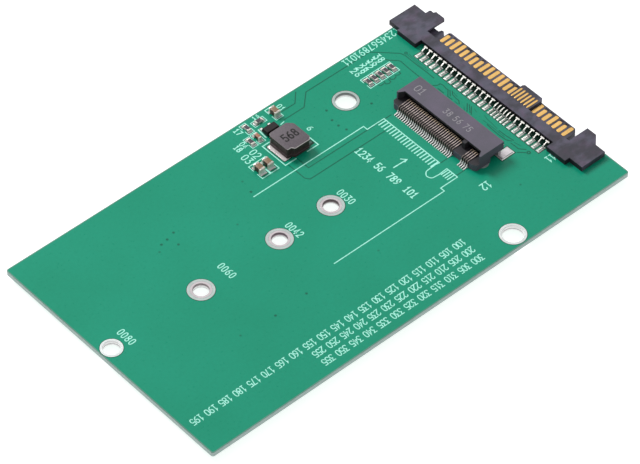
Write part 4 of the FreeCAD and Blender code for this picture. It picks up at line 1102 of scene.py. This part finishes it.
# spring materials: 0 tail whitened as a painted highlight, 3 painted shade on the upright run and the tail's cut sides,
# 1 bronze, 2 gold tip
for y in FRONT:
    front.strap([(27.02, 1.085, 0.1, 0), (27.4, 1.085, 0.1, 0), (27.7, 1.26, 0.1, 0), (27.93, 1.78, 0.095, 3),
                 (27.98, 2.3, 0.092, 3), (28.16, 2.48, 0.09, 3), (28.75, 2.48, 0.092, 1), (29.4, 2.51, 0.092, 1),
                 (30.05, 2.6, 0.09, 2), (30.3, 2.64, 0.092, 2), (30.57, 2.655, 0.09, 2),
                 (30.9, 2.37, 0.08, 2)], y, 0.1, edge=0.025, bend=0.1, bend_n=2, side=3)
front.finish("socket_front_springs", [TAIL_HIGHLIGHT, BRONZE, TIP_GOLD, BRONZE_SHADE], ("socket_front_contacts",), smooth_angle=40)

rear = Build()
for y in REAR:
    rear.strap([(36.2, 1.07, 0.11, 0), (35.27, 1.07, 0.11, 0), (34.99, 1.37, 0.11, 0), (34.57, 1.37, 0.11, 0),
                (34.57, 3.79, 0.11, 1), (33.71, 3.79, 0.11, 1), (31.85, 3.47, 0.11, 2), (31.35, 3.73, 0.085, 2)],
               y, 0.135, edge=0.025, bend=0.1, bend_n=2)
rear.finish("socket_rear_springs", [TIN, BRONZE, TIP_GOLD], ("socket_rear_contacts",), smooth_angle=40)

tails = Build()
# the front tails' solder shares the painted highlight
for y in FRONT:
    tails.mound(rounded(rect(26.94, 27.8, y - 0.1, y + 0.1), 0.05, 2), TOP + 0.03, 0.06, 1, 3, 0.7)
for y in REAR:
    tails.mound(rounded(rect(35.32, 36.6, y - 0.105, y + 0.105), 0.05, 2), TOP + 0.03, 0.08, 0, 3, 0.7)
for y0, y1 in ((-10.4, -9.55), (12.7, 13.55)):
    tails.mound(rounded(rect(33.72, 36.7, y0, y1), 0.05, 2), TOP + 0.03, 0.02, 0, 2, 0.97)
tails.finish("socket_solder", [SOLDER, TAIL_HIGHLIGHT])

soften("socket_hold_downs", "hold_downs", [STEEL], 0.05, 2, 0.25)

# hole rims the pegs pass through
rims = Build()
rims.ring(30.6, AXIS - 10.0, 0.83, 1.3, TOP - 0.01, TOP + 0.03, 0, 48, 0.015)
rims.ring(30.6, AXIS + 10.0, 0.58, 1.0, TOP - 0.01, TOP + 0.03, 0, 48, 0.015)
for y in (-16.4, 22.9):
    rims.ring(42.6, y, 0.73, 1.15, -0.03, 0.01, 0, 48, 0.012)
rims.ring(30.6, AXIS - 10.0, 0.83, 1.3, -0.03, 0.01, 0, 48, 0.012)
rims.ring(30.6, AXIS + 10.0, 0.58, 1.0, -0.03, 0.01, 0, 48, 0.012)
rims.finish("peg_rims", [RING], smooth_angle=40)

# plain position numbers lasered on the socket's top
marks = Build()
numerals(marks, "01", 32.6, 9.9, 1.6, -90, wide=0.72, pitch=1.15, stroke=0.17, z0=4.11, z1=4.126)
for label, y in (("38", 2.5), ("56", -0.05), ("75", -2.6)):
    numerals(marks, label, 32.5, y, 1.3, -90, wide=0.58, pitch=1.0, stroke=0.16, z0=4.11, z1=4.126)
marks.finish("socket_numbers", [LASER])

# ----------------------------------------------------------------- the coil
CX, CY = 7.98, 17.32


def coil_plan(inset_by=0.0):
    x0, x1 = CX - 2.675 + inset_by, CX + 2.675 - inset_by
    y0, y1 = CY - 2.95 + inset_by, CY + 2.95 - inset_by
    c = 0.6
    return [(x0, y0 + c), (x0 + 0.95, y0 + c), (x0 + 1.35, y0), (x1 - c, y0), (x1, y0 + c),
            (x1, y1 - 1.0), (x1 - 1.0, y1), (x0 + c, y1), (x0, y1 - c)]


PLAN = rounded(coil_plan(), [0.3, 0.16, 0.16, 0.3, 0.45, 0.7, 0.7, 0.3, 0.45], 4)


def coil_flange(build, z0, z1, top_edge, bottom_edge, top):
    loop = ccw(PLAN)
    spec = [(z0, bottom_edge, 1), (z0 + 0.29 * bottom_edge, 0.29 * bottom_edge, 1), (z0 + bottom_edge, 0.0, 1),
            (z1 - top_edge, 0.0, 2 if top else 1), (z1 - 0.29 * top_edge, 0.29 * top_edge, 2 if top else 1),
            (z1, top_edge, 0)]
    vs = [[build.bm.verts.new(Vector((x, y, z)) * MM) for x, y in (inset(loop, d) if d else loop)] for z, d, _ in spec]
    n = len(loop)
    for k in range(len(vs) - 1):
        for i in range(n):
            j = (i + 1) % n
            dx, dy = loop[j][0] - loop[i][0], loop[j][1] - loop[i][1]
            away = -dx / max(1e-9, math.hypot(dx, dy))
            # painted glint on the top bevel's near edges and round the notch
            lit = spec[k][2] == 2 and (away < -0.7 or (loop[i][0] < CX - 1.0 and loop[i][1] < CY - 2.2 and away < -0.2))
            build.face((vs[k][i], vs[k][j], vs[k + 1][j], vs[k + 1][i]), 3 if lit else spec[k][2])
    build.face(list(reversed(vs[0])), 1)
    build.face(vs[-1], 0)


core = Build()
coil_flange(core, 2.85, 3.4, 0.09, 0.04, True)
coil_flange(core, 1.12, 1.67, 0.04, 0.04, False)
core.disc(CX, CY, 1.1, 1.6, 2.9, 1, 48)
core.finish("coil_core_flanges", [FERRITE, FERRITE_SIDE, FERRITE_EDGE, FERRITE_GLINT], ("coil_core",), smooth_angle=38)

fill = Build()
loop = inset(ccw(PLAN), 0.1)
for z0, z1, d in ((1.66, 2.86, 0.0),):
    fill.rings([[(x, y, z0) for x, y in loop], [(x, y, z0 + 0.3) for x, y in inset(loop, 0.05)],
                [(x, y, z1 - 0.3) for x, y in inset(loop, 0.06)], [(x, y, z1) for x, y in loop]], 0, True)
fill.finish("coil_fill", [RESIN], ("coil_resin_fill",), smooth_angle=50)

turns = Build()
for level in range(4):
    for layer in range(4):
        r = 1.24 + 0.25 * layer
        z = 1.82 + 0.29 * level
        cols = []
        for k in range(48):
            a = 2 * math.pi * k / 48
            cols.append([turns.bm.verts.new(Vector((CX + (r + 0.12 * math.cos(q * math.pi / 4)) * math.cos(a),
                                                    CY + (r + 0.12 * math.cos(q * math.pi / 4)) * math.sin(a),
                                                    z + 0.12 * math.sin(q * math.pi / 4))) * MM) for q in range(8)])
        for k in range(48):
            a, b = cols[k], cols[(k + 1) % 48]
            for q in range(8):
                p = (q + 1) % 8
                turns.face((a[q], b[q], b[p], a[p]), 0, True)
turns.finish("coil_turns", [COPPER], ("coil_winding",))

term = Build()
# the right-hand plate and its solder take painted shade; the left-hand one is plain tin
for s in (-1, 1):
    inner, outer = CX + s * 2.075, CX + s * 3.26
    loop = [(outer, CY - 1.75), (outer - s * 0.42, CY - 2.35), (inner, CY - 2.35), (inner, CY + 2.35), (outer - s * 0.42, CY + 2.35), (outer, CY + 1.75)]
    term.prism(rounded(loop, 0.12, 3), 1.0, 1.12, 0.03, 0.02, 0 if s < 0 else 1)
term.finish("coil_plates", [PLATE_TIN, PLATE_SHADE], ("coil_terminals",))
wet = Build()
wet.mound(rounded([(CX - 3.36, CY - 1.8), (CX - 2.95, CY - 2.4), (CX - 2.3, CY - 2.4), (CX - 2.3, CY + 2.4),
                   (CX - 2.95, CY + 2.4), (CX - 3.36, CY + 1.8)], 0.1, 3), TOP + 0.03, 0.05, 0, 3, 0.95)
wet.mound(rounded(rect(CX + 2.6, CX + 3.5, CY - 2.3, CY + 2.3), 0.2, 3), TOP + 0.03, 0.06, 1, 3, 0.9)
wet.finish("coil_solder", [PLATE_TIN, PLATE_SHADE])
mark = Build()
numerals(mark, "568", CX + 0.12, CY + 0.14, 1.72, 0, wide=0.56, pitch=1.15, stroke=0.3, z0=3.39, z1=3.41)
mark.finish("coil_number", [DARK_MARK])

# --------------------------------------------------------------- controller
KX, KY = 7.75, 22.2
z0, zt = 1.06, 2.11
zm = (z0 + zt) / 2
base = ccw(rect(KX - 1.45, KX + 1.45, KY - 0.8, KY + 0.8))
chip = Build()
levels = [(z0, 0.12), (zm - 0.07, 0.0), (zm + 0.07, 0.0), (zt - 0.07, 0.09), (zt - 0.02, 0.115), (zt, 0.16)]
chip.rings([[(x, y, z) for x, y in rounded(inset(base, d) if d else base, 0.06, 2)] for z, d in levels], 0)
chip.finish("controller_moulding", [CHIP_PLASTIC], ("controller_body",))
leads = Build()
joints = Build()
for sy, step in ((-1, -1), (-1, 0), (-1, 1), (1, -1), (1, 1)):
    at = KX + 0.95 * step
    f = KY + 0.8 * sy
    path = [(f - sy * 0.3, zm, 0.2), (f + sy * 0.17, zm, 0.2), (f + sy * 0.3, 1.07, 0.2), (KY + sy * 1.4, 1.07, 0.2)]
    leads.strap(path, at, 0.13, edge=0.03, bend=0.1, bend_n=3, across=True)
    y0, y1 = sorted((KY + sy * 1.0, KY + sy * 1.62))
    joints.mound(rounded(rect(at - 0.27, at + 0.27, y0, y1), 0.12, 3), TOP + 0.03, 0.13, 0, 4, 0.65)
leads.finish("controller_pins", [TIN], ("controller_leads",), smooth_angle=35)
joints.finish("controller_solder", [SOLDER])


# ------------------------------------------------ chip parts and their solder
class Local:
    """Places a chip part's own length and width on the board."""

    def __init__(self, x, y, along):
        self.x, self.y, self.along = x, y, along

    def __call__(self, loop):
        if self.along == "y":
            return [(self.x + b, self.y + a) for a, b in loop]
        return [(self.x + a, self.y + b) for a, b in loop]

    def point(self, a, b):
        return (self.x + b, self.y + a) if self.along == "y" else (self.x + a, self.y + b)


def fillet(build, at, a0, reach, half, height, n=8):
    """Solder drawn up the end of a part: a hollow slope, thinner at its sides."""
    s = 1 if reach > 0 else -1
    cols = []
    m = 7
    for j in range(m + 1):
        v = -1 + 2 * j / m
        side = 1 - 0.55 * abs(v) ** 3
        col = []
        for i in range(n + 1):
            u = i / n
            z = TOP + 0.03 + height * side * (1 - u) ** 2.2
            a = a0 + reach * u * (1 - 0.12 * v * v)
            px, py = at.point(a, v * half)
            col.append(build.bm.verts.new(Vector((px, py, z)) * MM))
        px, py = at.point(a0 + reach * (1 - 0.12 * v * v), v * half)
        col.append(build.bm.verts.new(Vector((px, py, TOP)) * MM))
        px, py = at.point(a0 - s * 0.02, v * half)
        col.append(build.bm.verts.new(Vector((px, py, TOP)) * MM))
        cols.append(col)
    k = len(cols[0])
    for j in range(m):
        for i in range(k):
            q = (i + 1) % k
            build.face((cols[j][i], cols[j][q], cols[j + 1][q], cols[j + 1][i]), 0, i < n)
    build.face(cols[0], 0)
    build.face(list(reversed(cols[-1])), 0)


chip_solder = Build()


def chip_part(name, x, y, along, length, width, height, end, body_mat, resistor=False, reach=0.3):
    at = Local(x, y, along)
    h, w = length / 2, width / 2
    b = Build()
    if resistor:
        b.prism(at(rounded(rect(-h + 0.04, h - 0.04, -w + 0.01, w - 0.01), 0.03, 2)), TOP + 0.04, TOP + height - 0.03, 0.015, 0, 0)
        b.prism(at(rounded(rect(-h + end - 0.02, h - end + 0.02, -w + 0.05, w - 0.05), 0.05, 3)), TOP + height - 0.04, TOP + height + 0.005, 0.02, 0, 1)
        mats = [ALUMINA, OVERCOAT]
    else:
        b.prism(at(rounded(rect(-h + 0.06, h - 0.06, -w + 0.04, w - 0.04), 0.09, 3)), TOP + 0.05, TOP + height - 0.04, 0.09, 0.05, 0)
        # painted shade: the body's upright sides take a darker copy of its ceramic
        b.bm.normal_update()
        for f in b.bm.faces:
            if abs(f.normal.z) < 0.4:
                f.material_index = 1
        mats = [body_mat, TAN_SHADE if body_mat is TAN else BROWN_SHADE]
    b.finish(name + "_block", mats, (name + "_body",), smooth_angle=45)
    c = Build()
    r = 0.05 if resistor else 0.16
    e = 0.035 if resistor else 0.13
    for s in (-1, 1):
        a0, a1 = sorted((s * h, s * (h - end)))
        corner = [r if (s < 0) == (k in (0, 3)) else 0.03 for k in range(4)]
        c.prism(at(rounded(rect(a0, a1, -w, w), corner, 4)), TOP + 0.01, TOP + height, e, 0.04)
        fillet(chip_solder, at, s * (h - 0.03), s * reach, w * 0.94, height * (0.62 if not resistor else 0.8))
    c.finish(name + "_caps", [CAP_TIN], (name + "_end_caps",), smooth_angle=45)


chip_part("output_capacitor_a", -0.15, 16.27, "y", 2.0, 1.25, 1.2, 0.45, TAN)
chip_part("output_capacitor_b", 1.85, 16.27, "y", 2.0, 1.25, 1.2, 0.45, TAN)
chip_part("input_capacitor", 11.15, 25.0, "y", 2.0, 1.25, 1.2, 0.45, TAN, reach=0.2)
chip_part("feedback_capacitor", 4.87, 22.42, "y", 1.6, 0.8, 0.8, 0.35, BROWN)
chip_part("feedback_resistor", 3.2, 22.42, "y", 1.6, 0.8, 0.45, 0.3, None, True)
chip_part("divider_resistor", 4.9, 25.4, "y", 1.6, 0.8, 0.45, 0.3, None, True)
chip_part("enable_resistor", 7.65, 25.37, "x", 1.6, 0.8, 0.45, 0.3, None, True)
for i in range(5):
    chip_part("strap_resistor_%d" % (i + 1), 29.05 + 1.425 * i, 19.72, "y", 1.6, 0.8, 0.45, 0.3, None, True)
chip_solder.finish("chip_solder", [CHIP_SOLDER])

# --------------------------------------------------- camera, light and floor
cam_data = bpy.data.cameras.new("camera")
cam_data.sensor_fit = "HORIZONTAL"
cam_data.sensor_width = 36.0
cam_data.lens = 3970.678 / 640 * 36.0
cam_data.clip_start = 0.01
cam_data.clip_end = 20.0
cam_data.dof.use_dof = False
cam = bpy.data.objects.new("camera", cam_data)
scene.collection.objects.link(cam)
right = Vector((0.74536878, -0.66661747, 0.00682118))
down = Vector((-0.48634318, -0.55073889, -0.67834872))
ahead = Vector((0.4559558, 0.50230252, -0.73470843))
m = Matrix.Identity(4)
for i in range(3):
    m[i][0], m[i][1], m[i][2] = right[i], -down[i], -ahead[i]
m.translation = Vector((-317.522, -349.472, 509.429)) * MM
cam.matrix_world = m
scene.camera = cam

floor_mat, nt, b = principled("floor", (0.4, 0.4, 0.4), 0.9, spec=0.1)
n = noise(nt, 30, 2.0)
nt.links.new(ramp(nt, n, [(0.3, (0.39, 0.39, 0.39)), (0.7, (0.41, 0.41, 0.41))]), b.inputs["Base Color"])
b.inputs["Emission Color"].default_value = (1, 1, 1, 1)
b.inputs["Emission Strength"].default_value = 0.85
bm = bmesh.new()
bmesh.ops.create_grid(bm, x_segments=4, y_segments=4, size=3.0)
for v in bm.verts:
    v.co.z = -0.00115
me = bpy.data.meshes.new("floor")
bm.to_mesh(me)
bm.free()
me.materials.append(floor_mat)
floor = bpy.data.objects.new("floor", me)
scene.collection.objects.link(floor)
floor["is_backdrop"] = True

world = bpy.data.worlds.new("studio")
world.use_nodes = True
world.node_tree.nodes["Background"].inputs["Color"].default_value = (0.98, 0.99, 1.0, 1.0)
world.node_tree.nodes["Background"].inputs["Strength"].default_value = 0.44
scene.world = world


def area(name, loc, target, size, power):
    d = bpy.data.lights.new(name, "AREA")
    d.shape = "RECTANGLE"
    d.size, d.size_y = size
    d.energy = power
    o = bpy.data.objects.new(name, d)
    scene.collection.objects.link(o)
    o.location = loc
    o.rotation_euler = (Vector(target) - Vector(loc)).to_track_quat("-Z", "Y").to_euler()
    return o


area("key", (-0.05, 0.74, 0.68), (0, 0, 0), (0.32, 0.32), 7.6)
area("panel", (0.45, 0.42, 0.70), (0, 0, 0), (0.6, 0.6), 1.15)

scene.view_settings.view_transform = "Standard"
scene.view_settings.look = "None"
scene.view_settings.exposure = 0.0
scene.view_settings.gamma = 1.0

shown_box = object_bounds()


def plain(b):
    out = []
    for v in b:
        out.append([float(c) for c in v] if hasattr(v, "__len__") else float(v))
    return out


{"cad": plain(cad_box), "visual": plain(shown_box)}
